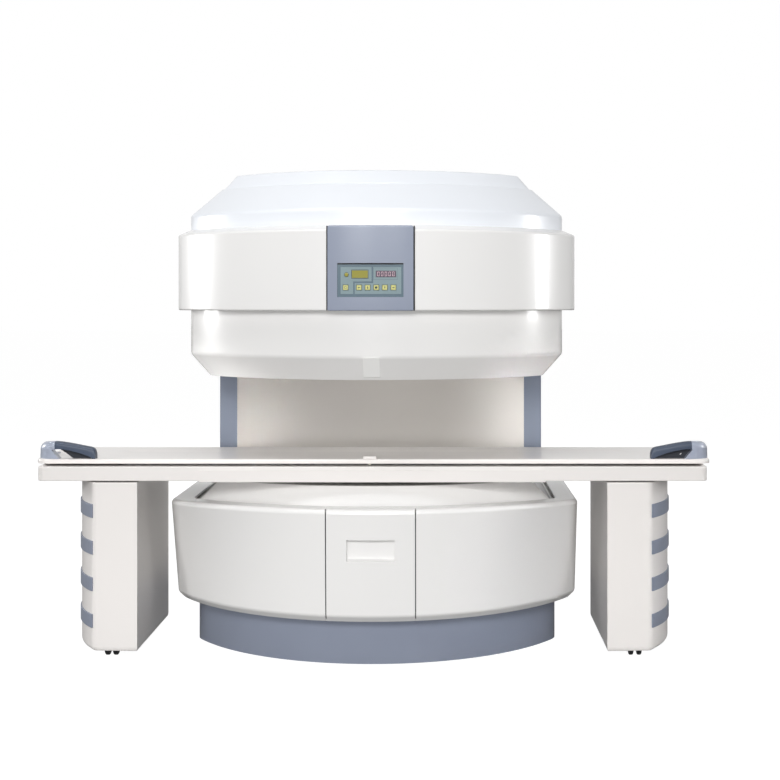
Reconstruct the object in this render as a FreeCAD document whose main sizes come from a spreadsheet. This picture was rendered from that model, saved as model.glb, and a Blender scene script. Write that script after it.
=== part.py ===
import FreeCAD
import Part
import Sketcher
import math
import os
import re

# An open, C-shaped magnetic resonance scanner with a patient table that bridges its lower housing.
# Millimetres. +X is right for someone facing the control panel, -Y is the front, +Z is up,
# and the floor is Z = 0. X and Y are zero in the middle of the footprint.

V = FreeCAD.Vector
os.makedirs("parts", exist_ok=True)
doc = FreeCAD.newDocument("OpenScanner")

SIZES = {
    # shared fits
    "fit": 0.3,               # clearance between neighbouring pieces that don't press on each other
    "wall": 6,                # moulded wall of the upper housing
    "axis_back": -305,        # Y of the vertical axis through both poles
    # floor skirt and steel yoke
    "foot_radius": 50,
    "foot_height": 40,
    "skirt_half": 692,
    "skirt_front": -760,
    "skirt_bow": 800,
    "skirt_corner": 100,
    "skirt_rear": 815,
    "skirt_top": 165,
    "skirt_wall": 4,
    "yoke_half": 640,
    "yoke_front": -740,
    "yoke_bow": 770,
    "yoke_corner": 80,
    "yoke_rear": 745,
    "lower_yoke_top": 240,
    "upper_yoke_low": 1350,
    "upper_yoke_top": 1554,
    "post_half": 540,
    "post_front": 354,
    "post_rear": 684,
    "bolt_radius": 35,
    "bolt_height": 36,
    # magnet blocks, pole plates and coil discs
    "magnet_radius": 405,
    "magnet_height": 190,
    "pole_radius": 420,
    "pole_height": 60,
    "shim_width": 44,
    "shim_height": 45,
    "coil_height": 30,
    "coil_gap": 1,
    "coil_groove": 5,
    # lower housing
    "base_half": 767,
    "base_front": -844,
    "base_bow": 880,
    "base_corner": 112,
    "base_rear": 862,
    "base_rear_corner": 260,
    "low_half": 761,
    "low_front": -860,
    "low_bow": 1250,
    "low_corner": 130,
    "low_rear": 858,
    "low_rear_corner": 256,
    "low_top": 570,
    "low_wall": 8,
    "low_bevel": 24,
    "low_edge": 10,
    "low_rim": 84,
    "low_foot_rim": 94,
    "deck_step": 13,
    "deck_wall": 6,
    "pad_radius": 375,
    "boss_gap": 4,
    "boss_slope": 85,
    "boss_top": 632,
    # access door in the lower housing
    "door_half": 160,
    "door_gap": 1.5,
    "door_depth": 60,
    "grip_half": 85,
    "grip_low": 385,
    "grip_high": 462,
    "grip_depth": 32,
    # upper housing
    "top_half": 718,
    "top_front": -802,
    "top_bow": 850,
    "top_corner": 122,
    "top_rear": 802,
    "top_rear_corner": 212,
    "belly_low": 1020,
    "bevel_inset": 75,
    "bevel_top": 1105,
    "band_low": 1272,
    "band_top": 1560,
    "band_shoulder": 20,
    "band_proud": 48,
    "band_edge": 5,
    "roof_start": 1635,
    "crease_level": 1740,
    "crease_half": 603,
    "crease_front": -662,
    "crease_bow": 760,
    "crease_corner": 80,
    "crease_rear": 662,
    "crease_rear_corner": 150,
    "cap_step": 8,
    "roof_level": 1795,
    "roof_half": 549,
    "roof_front": -589,
    "roof_bow": 740,
    "roof_corner": 60,
    "roof_rear": 589,
    "roof_rear_corner": 110,
    # column between the housings
    "column_half": 661,
    "column_front": -40,
    "column_rear": 740,
    "column_corner": 110,
    "column_wall": 6,
    "trim_width": 72,
    "trim_depth": 40,
    "bay_wall": 6,
    "vent_half": 230,
    "vent_slot": 14,
    "vent_low": 120,
    # control panel and keypad
    "panel_half": 152.5,
    "panel_gap": 3.5,
    "panel_proud": 12,
    "panel_back": -812,
    "panel_top": 1575,
    "panel_wall": 4,
    "pad_half": 117,
    "pad_low": 1321,
    "pad_high": 1441,
    "pad_back": -852,         # Y of the visible face of the keypad frame
    "pad_plate": 4,
    "fascia_thick": 1,
    "key_size": 17,
    "key_level": 1354.7,
    "key_first": -40,
    "key_pitch": 30.4,
    "key_power": -87.6,
    "key_stand": 2.2,
    "key_travel": 1.2,
    # table beam and top
    "beam_half": 1218,
    "beam_front": -720,
    "beam_rear": -185,
    "beam_low": 654,
    "beam_top": 699.5,
    "beam_wall": 8,
    "beam_corner": 26,
    "apron_half": 628,
    "apron_thick": 4,
    "top_length_half": 1243,
    "top_low": 709,
    "top_high": 726.3,
    "slab_front": -650,
    "slab_rear": -220,
    "slab_corner": 40,
    "rail_half": 930,
    "rail_width": 30,
    "rail_height": 6,
    "rail_front": -560,
    "rail_back": -310,
    "runner_length": 120,
    "runner_pitch": 450,
    # corner handles on the table top
    "grab_inset": 2,          # from the end of the table top to the outside of the handle
    "grab_length": 218,
    "grab_turn": 66,
    "grab_thick": 34,
    "grab_high": 790,
    "grab_end_high": 771,
    "grab_reach": 210,
    # legs and their buffer straps
    "leg_inner": 853,
    "leg_flat": 1004,
    "leg_outer": 1112,
    "leg_rear": -140,
    "leg_low": 37,
    "leg_wall": 5,
    "leg_corner": 30,
    "leg_toe": 26,
    "strap_height": 50,
    "strap_pitch": 133,
    "strap_first": 121,
    "strap_thick": 5,
    "strap_start": 1014,
    # casters
    "caster_across": 965,
    "caster_front": -640,
    "caster_back": -220,
    "wheel_radius": 37.5,
    "wheel_width": 16,
    "wheel_gap": 14,
    "trail": 20,
    "caster_well": 66,
    "stem_radius": 6,
    "sole_low": 96,
    "sole_thick": 8,
}

sheet = doc.addObject("Spreadsheet::Sheet", "Sizes")
for row, (alias, number) in enumerate(SIZES.items(), start=1):
    sheet.set(f"A{row}", alias)
    sheet.set(f"B{row}", str(number))
    sheet.setAlias(f"B{row}", alias)
doc.recompute()


def cell(text):
    """Point every size name in a sum at its cell of the sheet."""
    return re.sub(r"[a-z][a-z_]*", lambda m: "Sizes." + m.group() if m.group() in SIZES else m.group(), str(text))


def value(text):
    return float(sheet.evalExpression(cell(text)))


def bind(obj, **sums):
    for name, text in sums.items():
        obj.setExpression(name, cell(text))


# --- building blocks -------------------------------------------------------------------------

def new_body(label):
    body = doc.addObject("PartDesign::Body", label)
    body.Label = label
    return body


def sketch_on(body, height="0", role="XY_Plane"):
    """Sketch on one of the body's own planes, lifted along the plane's normal."""
    sketch = body.newObject("Sketcher::SketchObject", body.Name + "_sketch")
    plane = next(item for item in body.Origin.OriginFeatures if item.Role == role)
    sketch.AttachmentSupport = [(plane, "")]
    sketch.MapMode = "FlatFace"
    sketch.setExpression("AttachmentOffset.Base.z", cell(height))
    return sketch


def dimension(sketch, constraint, text):
    index = sketch.addConstraint(constraint)
    sketch.setExpression(f"Constraints[{index}]", cell(text))


def arc(x, y, radius, start, end):
    return Part.ArcOfCircle(Part.Circle(V(x, y, 0), V(0, 0, 1), radius), start, end)


def circle(sketch, x, y, radius):
    index = sketch.addGeometry(Part.Circle(V(value(x), value(y), 0), V(0, 0, 1), value(radius)), False)
    dimension(sketch, Sketcher.Constraint("Radius", index, value(radius)), radius)
    place_point(sketch, index, 3, x, y)


def place_point(sketch, index, point, x, y):
    """Tie a point to its distances from the sketch's origin."""
    for kind, text, axis in (("DistanceX", x, -2), ("DistanceY", y, -1)):
        if value(text) == 0:
            sketch.addConstraint(Sketcher.Constraint("PointOnObject", index, point, axis))
        else:
            dimension(sketch, Sketcher.Constraint(kind, -1, 1, index, point, value(text)), text)


def polygon(sketch, points):
    """Closed outline through points given as pairs of sums."""
    first = sketch.GeometryCount
    ends = [V(value(x), value(y), 0) for x, y in points]
    count = len(ends)
    for i in range(count):
        sketch.addGeometry(Part.LineSegment(ends[i], ends[(i + 1) % count]), False)
    for i in range(count):
        sketch.addConstraint(Sketcher.Constraint("Coincident", first + i, 2, first + (i + 1) % count, 1))
    for i, (x, y) in enumerate(points):
        place_point(sketch, first + i, 1, x, y)


def rectangle(sketch, left, right, low, high):
    polygon(sketch, [(left, low), (right, low), (right, high), (left, high)])


def round_backed(sketch, half, front, rear, corner):
    """Plan of the column: square front, straight sides, rounded rear corners."""
    h, f, b, q = (value(text) for text in (half, front, rear, corner))
    n = sketch.GeometryCount
    sketch.addGeometry([
        Part.LineSegment(V(-h, f, 0), V(h, f, 0)), Part.LineSegment(V(h, f, 0), V(h, b - q, 0)),
        arc(h - q, b - q, q, 0, math.pi / 2), Part.LineSegment(V(h - q, b, 0), V(q - h, b, 0)),
        arc(q - h, b - q, q, math.pi / 2, math.pi), Part.LineSegment(V(-h, b - q, 0), V(-h, f, 0))], False)
    for i in (0, 5):
        sketch.addConstraint(Sketcher.Constraint("Coincident", n + i, 2, n + (i + 1) % 6, 1))
    for i in range(1, 5):
        sketch.addConstraint(Sketcher.Constraint("Tangent", n + i, 2, n + i + 1, 1))
    for i in (0, 3):
        sketch.addConstraint(Sketcher.Constraint("Horizontal", n + i))
    for i in (1, 5):
        sketch.addConstraint(Sketcher.Constraint("Vertical", n + i))
    for i in (2, 4):
        dimension(sketch, Sketcher.Constraint("Radius", n + i, q), corner)
    place_point(sketch, n, 1, f"-({half})", front)
    dimension(sketch, Sketcher.Constraint("DistanceX", -1, 1, n, 2, h), half)
    dimension(sketch, Sketcher.Constraint("DistanceY", -1, 1, n + 3, 1, b), rear)


def bowed_outline(sketch, name, inset="0"):
    """Plan of a housing: bowed front, straight sides and rear, four rounded corners, drawn inset."""
    rear_corner = f"{name}_rear_corner" if f"{name}_rear_corner" in SIZES else f"2 * {name}_corner"
    half, front, bow, corner, rear, rear_corner = (
        f"{name}_half - ({inset})", f"{name}_front + ({inset})", f"{name}_bow - ({inset})",
        f"{name}_corner - ({inset})", f"{name}_rear - ({inset})", f"{rear_corner} - ({inset})")
    if value(corner) < 4:
        corner = "4"
    h, f, r, c, b, q = (value(text) for text in (half, front, bow, corner, rear, rear_corner))
    middle = f + r
    side = middle - math.sqrt((r - c) ** 2 - (h - c) ** 2)
    turn = math.atan2(side - middle, h - c)
    n = sketch.GeometryCount
    sketch.addGeometry([
        arc(0, middle, r, math.pi - turn, 2 * math.pi + turn),
        arc(h - c, side, c, turn, 0),
        Part.LineSegment(V(h, side, 0), V(h, b - q, 0)),
        arc(h - q, b - q, q, 0, math.pi / 2),
        Part.LineSegment(V(h - q, b, 0), V(q - h, b, 0)),
        arc(q - h, b - q, q, math.pi / 2, math.pi),
        Part.LineSegment(V(-h, b - q, 0), V(-h, side, 0)),
        arc(c - h, side, c, math.pi, math.pi - turn)], False)
    for i in range(8):
        sketch.addConstraint(Sketcher.Constraint("Tangent", n + i, 2, n + (i + 1) % 8, 1))
    sketch.addConstraint(Sketcher.Constraint("Vertical", n + 2))
    sketch.addConstraint(Sketcher.Constraint("Vertical", n + 6))
    sketch.addConstraint(Sketcher.Constraint("Horizontal", n + 4))
    place_point(sketch, n, 3, "0", f"{front} + {bow}")
    dimension(sketch, Sketcher.Constraint("Radius", n, r), bow)
    for i in (1, 7):
        dimension(sketch, Sketcher.Constraint("Radius", n + i, c), corner)
    for i in (3, 5):
        dimension(sketch, Sketcher.Constraint("Radius", n + i, q), rear_corner)
    dimension(sketch, Sketcher.Constraint("DistanceX", -1, 1, n + 2, 1, h), half)
    dimension(sketch, Sketcher.Constraint("DistanceX", n + 6, 1, -1, 1, h), half)
    dimension(sketch, Sketcher.Constraint("DistanceY", -1, 1, n + 4, 1, b), rear)


def feature(body, kind, sketch, **sums):
    item = body.newObject("PartDesign::" + kind, f"{body.Name}_{kind}")
    item.Profile = sketch
    bind(item, **sums)
    body.Tip = item
    return item


def pad(body, sketch, length, back=False):
    """Solid up from the sketch, or down from it."""
    item = feature(body, "Pad", sketch, Length=length)
    item.Reversed = back
    return item


def pocket(body, sketch, length, up=False):
    """Cut down from the sketch, or up from it."""
    item = feature(body, "Pocket", sketch, Length=length)
    item.Reversed = up
    return item


def loft(body, kind, low, high):
    item = body.newObject("PartDesign::" + kind, f"{body.Name}_{kind}")
    item.Profile = low
    item.Sections = [high]
    item.Ruled = True
    body.Tip = item
    return item


def revolve(body, points, kind="Revolution"):
    """Turn an outline of (radius, height) pairs about the body's own Z axis."""
    sketch = sketch_on(body, role="XZ_Plane")
    polygon(sketch, points)
    item = body.newObject("PartDesign::" + kind, f"{body.Name}_{kind}")
    item.Profile = sketch
    item.ReferenceAxis = (sketch, ["V_Axis"])
    item.Angle = 360
    body.Tip = item
    return item


def dress(body, kind, chosen, **sums):
    """Round or bevel the edges that the test picks."""
    doc.recompute()
    base = body.Tip
    names = [f"Edge{i + 1}" for i, edge in enumerate(base.Shape.Edges) if chosen(edge)]
    item = body.newObject("PartDesign::" + kind, f"{body.Name}_{kind}")
    item.Base = (base, names)
    bind(item, **sums)
    body.Tip = item
    return item


def level(edge, text):
    """True for an edge that lies flat at one height."""
    box = edge.BoundBox
    return abs(box.ZMin - value(text)) < 1e-3 and abs(box.ZMax - value(text)) < 1e-3


def upright(edge):
    box = edge.BoundBox
    return box.XLength < 1e-3 and box.YLength < 1e-3


def box(label, left, right, front, back, low, high):
    item = doc.addObject("Part::Box", label)
    item.Label = label
    bind(item, Length=f"({right}) - ({left})", Width=f"({back}) - ({front})", Height=f"({high}) - ({low})")
    for axis, text in zip("xyz", (left, front, low)):
        item.setExpression(f"Placement.Base.{axis}", cell(text))
    return item


def cylinder(label, x, y, low, radius, height):
    item = doc.addObject("Part::Cylinder", label)
    bind(item, Radius=radius, Height=height)
    for axis, text in zip("xyz", (x, y, low)):
        item.setExpression(f"Placement.Base.{axis}", cell(text))
    return item


def combine(label, kind, base, tool):
    item = doc.addObject("Part::" + kind, label)
    item.Label = label
    item.Base = base
    item.Tool = tool
    return item


def group(label, members):
    item = doc.addObject("Part::Compound", label)
    item.Label = label
    item.Links = members
    return item


def stand_at(body, x="0", y="0", z="0"):
    for axis, text in zip("xyz", (x, y, z)):
        body.setExpression(f"Placement.Base.{axis}", cell(text))


nodes = []


def keep(item):
    nodes.append(item)
    return item


# --- magnet: feet, skirt, yoke, poles ----------------------------------------------------------

def levelling_feet():
    feet = [cylinder("foot", x, y, "0", "foot_radius", "foot_height")
            for x in ("-0.75 * yoke_half", "0.75 * yoke_half")
            for y in ("0.6 * yoke_front", "0", "0.8 * yoke_rear")]
    keep(group("levelling_feet", feet))


def bowed_shell(label, name, low, high, inset, inner):
    """Plain bowed ring between two insets, open above and below."""
    body = new_body(label)
    outer = sketch_on(body, low)
    bowed_outline(outer, name, inset)
    pad(body, outer, f"{high} - ({low})")
    hole = sketch_on(body, high)
    bowed_outline(hole, name, inner)
    pocket(body, hole, f"{high} - ({low})")
    return keep(body)


def bowed_plate(label, name, low, high, inset="0"):
    body = new_body(label)
    sketch = sketch_on(body, low)
    bowed_outline(sketch, name, inset)
    pad(body, sketch, f"{high} - ({low})")
    return keep(body)


def yoke():
    bowed_plate("base_yoke", "yoke", "foot_height", "lower_yoke_top")
    bowed_plate("top_yoke", "yoke", "upper_yoke_low", "upper_yoke_top")
    post = new_body("yoke_post")
    sketch = sketch_on(post, "lower_yoke_top")
    rectangle(sketch, "-post_half", "post_half", "post_front", "post_rear")
    pad(post, sketch, "upper_yoke_low - lower_yoke_top")
    dress(post, "Chamfer", upright, Size="40")
    keep(post)
    heads = []
    for x in ("-0.7 * post_half", "-0.35 * post_half", "0.35 * post_half", "0.7 * post_half"):
        for y in ("post_front + 2 * bolt_radius", "post_rear - 2 * bolt_radius"):
            head = doc.addObject("Part::Prism", "bolt")
            head.Polygon = 6
            bind(head, Circumradius="bolt_radius", Height="bolt_height")
            for axis, text in zip("xyz", (x, y, "upper_yoke_top")):
                head.setExpression(f"Placement.Base.{axis}", cell(text))
            heads.append(head)
    keep(group("yoke_bolts", heads))


def pole_side(side, low_face, up):
    """Magnet block, pole plate with its shim ring and coil disc, built from the yoke inwards."""
    def at(distance):
        return f"{up} * ({distance})"

    block = doc.addObject("Part::Prism", side + "_magnet")
    block.Label = side + "_magnet"
    block.Polygon = 16
    bind(block, Circumradius="magnet_radius", Height="magnet_height")
    for axis, text in zip("xyz", ("0", "axis_back", low_face if up > 0 else f"{low_face} - magnet_height")):
        block.setExpression(f"Placement.Base.{axis}", cell(text))
    keep(block)

    pole = new_body(side + "_pole")
    start = "magnet_height"
    face = "magnet_height + pole_height"
    ring = "magnet_height + pole_height + shim_height"
    revolve(pole, [("0", at(start)), ("pole_radius", at(start)), ("pole_radius", at(ring)),
                   ("pole_radius - shim_width + 14", at(ring)), ("pole_radius - shim_width", at(face)),
                   ("0", at(face))])
    stand_at(pole, y="axis_back", z=low_face)
    keep(pole)

    coil = new_body(side + "_coil")
    rim = "pole_radius - shim_width - coil_gap"
    back = "magnet_height + pole_height + coil_height"
    groove = "magnet_height + pole_height + coil_height - coil_groove"
    outline = [("0", at(face)), (rim, at(face)), (rim, at(back))]
    for share in ("0.8", "0.45"):
        near, far = f"{share} * pole_radius - 4 * coil_groove", f"{share} * pole_radius"
        outline += [(far, at(back)), (far, at(groove)), (near, at(groove)), (near, at(back))]
    outline.append(("0", at(back)))
    revolve(coil, outline)
    stand_at(coil, y="axis_back", z=low_face)
    keep(coil)


# --- lower housing ------------------------------------------------------------------------------

ROOM_LOW = "skirt_top + low_bevel + 0.4 * low_wall"


def within(body, kind, inset):
    """Fill or clear the room inside the tub, drawn inset from its leaning wall."""
    below = sketch_on(body, ROOM_LOW)
    bowed_outline(below, "base", inset)
    above = sketch_on(body, "low_top - low_wall")
    bowed_outline(above, "low", inset)
    loft(body, kind, below, above)


BAY_EDGE = "column_half - trim_width - fit"
BAY_RADIUS = f"sqrt((column_front - axis_back) ^ 2 + ({BAY_EDGE}) ^ 2)"


def boss(label, shrink, low, high):
    """Bevelled rise over the lower pole, bowed in front and round behind, where the column curves about it."""
    bevel = new_body(label + "_bevel")
    foot = sketch_on(bevel, low)
    bowed_outline(foot, "low", f"low_rim + boss_gap + {shrink}")
    head = sketch_on(bevel, high)
    bowed_outline(head, "low", f"low_rim + boss_gap + boss_slope + {shrink}")
    loft(bevel, "AdditiveLoft", foot, head)
    behind = f"column_front - boss_gap - {shrink}"
    ahead = box(label + "_ahead", "-low_half", "low_half", "low_front", behind, low, high)
    front = combine(label + "_front", "Common", bevel, ahead)
    disc = cylinder(label + "_disc", "0", "axis_back", low, f"{BAY_RADIUS} - boss_gap - {shrink}", f"{high} - ({low})")
    rest = box(label + "_rest", "-low_half", "low_half", f"{behind} - 10", "column_rear", low, high)
    back = combine(label + "_back", "Common", disc, rest)
    return combine(label, "Fuse", front, back)


def lower_housing():
    """Leaning tub with a bevelled foot, a flat rim, a step down to the deck and a door cut in its front."""
    tub = new_body("tub")
    foot = sketch_on(tub, "skirt_top")
    bowed_outline(foot, "base", "low_bevel")
    for height, name, inset in (("skirt_top + low_bevel", "base", "0"), ("low_top - low_edge", "low", "0"),
                                ("low_top", "low", "low_edge")):
        above = sketch_on(tub, height)
        bowed_outline(above, name, inset)
        loft(tub, "AdditiveLoft", foot, above)
        foot = above
    within(tub, "SubtractiveLoft", "low_wall")
    slant = sketch_on(tub, "skirt_top + low_wall")
    bowed_outline(slant, "base", "low_bevel + 0.4 * low_wall")
    crease = sketch_on(tub, ROOM_LOW)
    bowed_outline(crease, "base", "low_wall")
    loft(tub, "SubtractiveLoft", slant, crease)
    mouth = sketch_on(tub, "low_top")
    bowed_outline(mouth, "low", "low_rim")
    pocket(tub, mouth, "low_wall")
    under = sketch_on(tub, "skirt_top + low_wall")
    bowed_outline(under, "base", "low_foot_rim")
    pocket(tub, under, "low_wall")

    opening = box("door_opening", "-door_half", "door_half", "low_front - 20", "low_front + door_depth",
                  "skirt_top - 5", "low_top + 5")
    keep(combine("lower_cover", "Cut", tub, opening))

    reach = box("door_space", "door_gap - door_half", "door_half - door_gap", "low_front - 20",
                "low_front + door_depth - fit", "skirt_top - 5", "low_top + 5")
    blank = combine("door_blank", "Common", tub, reach)
    housing = box("grip_housing", "-grip_half - 4", "grip_half + 4", "low_front + 1.4 * low_wall", "low_front + grip_depth + 4",
                  "grip_low - 4", "grip_high + 14")
    thick = combine("door_thick", "Fuse", blank, housing)
    recess = new_body("grip_recess")
    section = sketch_on(recess, "-grip_half", "YZ_Plane")
    polygon(section, [("low_front - 20", "grip_low - 6"), ("low_front + 10", "grip_low"),
                      ("low_front + grip_depth", "grip_low + 16"), ("low_front + grip_depth", "grip_high + 10"),
                      ("low_front + 15", "grip_high + 10"), ("low_front + 11", "grip_high"),
                      ("low_front - 20", "grip_high")])
    pad(recess, section, "2 * grip_half")
    keep(combine("access_door", "Cut", thick, recess))

    # two curved strips behind the door's seams carry it
    strips = []
    for side in (-1, 1):
        ring = new_body("door_strip_ring")
        within(ring, "AdditiveLoft", "low_wall + fit")
        within(ring, "SubtractiveLoft", "low_wall + fit + 4")
        edges = sorted((f"{side} * (door_half - 24)", f"{side} * (door_half + 30)"), key=value)
        clip = box("door_strip_clip", edges[0], edges[1], "low_front - 20", "low_front + door_depth",
                   f"{ROOM_LOW} + 10", "low_top - 4 * low_wall")
        strips.append(combine("door_strip", "Common", ring, clip))
    keep(group("door_frame", strips))

    deck = new_body("deck_tray")
    floor = "low_top - low_wall - deck_step"
    tray = sketch_on(deck, floor)
    bowed_outline(tray, "low", "low_rim - 18")
    pad(deck, tray, "deck_step - fit")
    dish = sketch_on(deck, "low_top - low_wall")
    bowed_outline(dish, "low", "low_rim - 18 + deck_wall")
    pocket(deck, dish, "deck_step - deck_wall")
    well = sketch_on(deck, "low_top")
    rectangle(well, "-post_half - 6", "post_half + 6", "post_front - 6", "post_rear + 6")
    pocket(deck, well, "deck_step + 2 * low_wall")
    raised = combine("deck_raised", "Fuse", deck, boss("boss", "0", floor, "boss_top"))
    room = boss("boss_room", "deck_wall", f"{floor} - 1", "boss_top - deck_wall")
    keep(combine("lower_deck", "Cut", raised, room))


# --- column between the housings ------------------------------------------------------------------

DECK_TOP = "low_top - low_wall - deck_step + deck_wall + fit"
BELLY_UNDER = "belly_low + wall - fit"


def belly_form():
    """The bevelled foot of the upper housing, lowered by the fit, that trims what stands under it."""
    body = new_body("belly_form")
    low = sketch_on(body, "belly_low - fit")
    bowed_outline(low, "top", "bevel_inset")
    high = sketch_on(body, "bevel_top - fit")
    bowed_outline(high, "top")
    loft(body, "AdditiveLoft", low, high)
    return body


def column():
    height = f"{BELLY_UNDER} - ({DECK_TOP})"
    tall = f"bevel_top - 20 - ({DECK_TOP})"
    form = belly_form()
    cover = new_body("column_shell")
    outer = sketch_on(cover, DECK_TOP)
    front = "column_front + trim_depth"
    round_backed(outer, "column_half", front, "column_rear", "column_corner")
    pad(cover, outer, tall)
    inner = sketch_on(cover, "bevel_top - 20")
    round_backed(inner, "column_half - column_wall", "column_front", "column_rear - column_wall",
                 "column_corner - column_wall")
    pocket(cover, inner, tall)
    # the moulded ends turn inwards so that the trims have something to stand against
    ends = sketch_on(cover, DECK_TOP)
    for side in (-1, 1):
        across = sorted((f"{side} * (column_half - 1)", f"{side} * (column_half - trim_width + 8)"), key=value)
        rectangle(ends, across[0], across[1], front, f"{front} + column_wall")
    pad(cover, ends, tall)
    slot = sketch_on(cover, "-column_rear - 10", "XZ_Plane")
    rectangle(slot, "-vent_half", "vent_half", f"{DECK_TOP} + vent_low", f"{DECK_TOP} + vent_low + vent_slot")
    vent = pocket(cover, slot, "10 + 2 * column_wall", up=True)
    doc.recompute()
    rows = cover.newObject("PartDesign::LinearPattern", "column_vents")
    rows.Originals = [vent]
    rows.Direction = (slot, ["V_Axis"])
    bind(rows, Length="14 * vent_slot")
    rows.Occurrences = 8
    cover.Tip = rows
    keep(combine("column_cover", "Cut", cover, form))

    trims = []
    for side in (-1, 1):
        trim = new_body("trim")
        sketch = sketch_on(trim, DECK_TOP)
        far, near = f"{side} * column_half", f"{side} * (column_half - trim_width)"
        far_in, near_in = f"{side} * (column_half - 4)", f"{side} * (column_half - trim_width + 4)"
        face, back = "column_front", "column_front + trim_depth"
        polygon(sketch, [(far, face), (far, back), (far_in, back), (far_in, f"{face} + 4"),
                         (near_in, f"{face} + 4"), (near_in, back), (near, back), (near, face)])
        pad(trim, sketch, tall)
        dress(trim, "Fillet", lambda edge: upright(edge) and abs(edge.BoundBox.YMin - value(face)) < 1e-3, Radius="3")
        trims.append(combine("trim_fitted", "Cut", trim, form))
    keep(group("column_trims", trims))

    # concave panel round the pole axis, closing the bay between the trims
    ring = new_body("bay_ring")
    sketch = sketch_on(ring, DECK_TOP)
    circle(sketch, "0", "axis_back", BAY_RADIUS)
    circle(sketch, "0", "axis_back", f"{BAY_RADIUS} + bay_wall")
    pad(ring, sketch, height)
    clip = box("bay_clip", f"-({BAY_EDGE})", BAY_EDGE, "column_front", "column_rear", DECK_TOP, BELLY_UNDER)
    keep(combine("column_panel", "Common", ring, clip))


# --- upper housing --------------------------------------------------------------------------------

def upper_skirt():
    """Lower half of the upper housing: a bevel that widens to the body, with a ledge at its foot."""
    body = new_body("upper_skirt")
    low = sketch_on(body, "belly_low")
    bowed_outline(low, "top", "bevel_inset")
    high = sketch_on(body, "bevel_top")
    bowed_outline(high, "top")
    loft(body, "AdditiveLoft", low, high)
    rise = sketch_on(body, "bevel_top")
    bowed_outline(rise, "top")
    pad(body, rise, "band_low - bevel_top")
    low_in = sketch_on(body, "belly_low + wall")
    bowed_outline(low_in, "top", "bevel_inset + wall")
    high_in = sketch_on(body, "bevel_top + wall")
    bowed_outline(high_in, "top", "wall")
    loft(body, "SubtractiveLoft", low_in, high_in)
    room = sketch_on(body, "band_low")
    bowed_outline(room, "top", "wall")
    pocket(body, room, "band_low - bevel_top - wall")
    mouth = sketch_on(body, "belly_low + wall")
    bowed_outline(mouth, "top", "bevel_inset + 40")
    pocket(body, mouth, "wall")
    keep(body)


def upper_belly():
    """Pan that closes the housing from below, dished round the pole and cut out for the yoke post."""
    body = new_body("upper_belly")
    plate = sketch_on(body, "belly_low + wall")
    bowed_outline(plate, "top", "bevel_inset + 14")
    pad(body, plate, "wall")
    dish = sketch_on(body, "belly_low")
    circle(dish, "0", "axis_back", "pad_radius")
    pad(body, dish, "wall + 1")
    hollow = sketch_on(body, "belly_low + 2 * wall")
    circle(hollow, "0", "axis_back", "pad_radius - wall")
    pocket(body, hollow, "wall")
    well = sketch_on(body, "belly_low + 2 * wall")
    rectangle(well, "-post_half - 6", "post_half + 6", "post_front - 6", "post_rear + 6")
    pocket(body, well, "2 * wall")
    keep(body)


def upper_band():
    """Proud band round the upper housing, with a sloped shoulder and a gap for the control panel."""
    body = new_body("band_ring")
    name = "top"
    outer = sketch_on(body, "band_low")
    bowed_outline(outer, name, "-band_proud")
    pad(body, outer, "band_top + band_shoulder - band_low")
    shoulder = dress(body, "Chamfer", lambda edge: level(edge, "band_top + band_shoulder"))
    shoulder.ChamferType = 1
    bind(shoulder, Size="band_shoulder", Size2="band_proud - 0.5")
    doc.recompute()
    if body.Shape.BoundBox.ZMax > value("band_top + band_shoulder") + 1e-6:
        shoulder.FlipDirection = True
    dress(body, "Fillet", lambda edge: level(edge, "band_low"), Radius="band_edge")
    seat = sketch_on(body, "band_top + band_shoulder")
    bowed_outline(seat, name, "-fit")
    pocket(body, seat, "band_shoulder")
    mouth = sketch_on(body, "band_top")
    bowed_outline(mouth, name, "108")
    pocket(body, mouth, "wall")
    room = sketch_on(body, "band_top - wall")
    bowed_outline(room, name, "wall - band_proud")
    pocket(body, room, "band_top - band_low - 2 * wall")
    under = sketch_on(body, "band_low + wall")
    bowed_outline(under, name, "30")
    pocket(body, under, "wall")
    gap = box("panel_opening", "-panel_half - panel_gap", "panel_half + panel_gap", "panel_back - 70",
              "panel_back + fit", "band_low - 5", "band_top + band_shoulder + 5")
    keep(combine("upper_band", "Cut", body, gap))


def roof():
    """Upright wall and first slope, then the cap, set in a step so that a shadow line runs round."""
    cover = new_body("roof_cover")
    foot = sketch_on(cover, "band_top")
    bowed_outline(foot, "top")
    pad(cover, foot, "roof_start - band_top")
    low = sketch_on(cover, "roof_start")
    bowed_outline(low, "top")
    high = sketch_on(cover, "crease_level")
    bowed_outline(high, "crease")
    loft(cover, "AdditiveLoft", low, high)
    room = sketch_on(cover, "roof_start")
    bowed_outline(room, "top", "wall")
    pocket(cover, room, "roof_start - band_top")
    low_in = sketch_on(cover, "roof_start")
    bowed_outline(low_in, "top", "wall")
    high_in = sketch_on(cover, "crease_level - wall")
    bowed_outline(high_in, "crease", "wall")
    loft(cover, "SubtractiveLoft", low_in, high_in)
    mouth = sketch_on(cover, "crease_level")
    bowed_outline(mouth, "crease", "36")
    pocket(cover, mouth, "2 * wall")
    keep(cover)

    cap = new_body("roof_cap")
    base = sketch_on(cap, "crease_level")
    bowed_outline(base, "crease", "cap_step")
    crown = sketch_on(cap, "roof_level")
    bowed_outline(crown, "roof")
    loft(cap, "AdditiveLoft", base, crown)
    base_in = sketch_on(cap, "crease_level")
    bowed_outline(base_in, "crease", "cap_step + 2 * wall")
    crown_in = sketch_on(cap, "roof_level - wall")
    bowed_outline(crown_in, "roof", "2 * wall")
    loft(cap, "SubtractiveLoft", base_in, crown_in)
    keep(cap)


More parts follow.
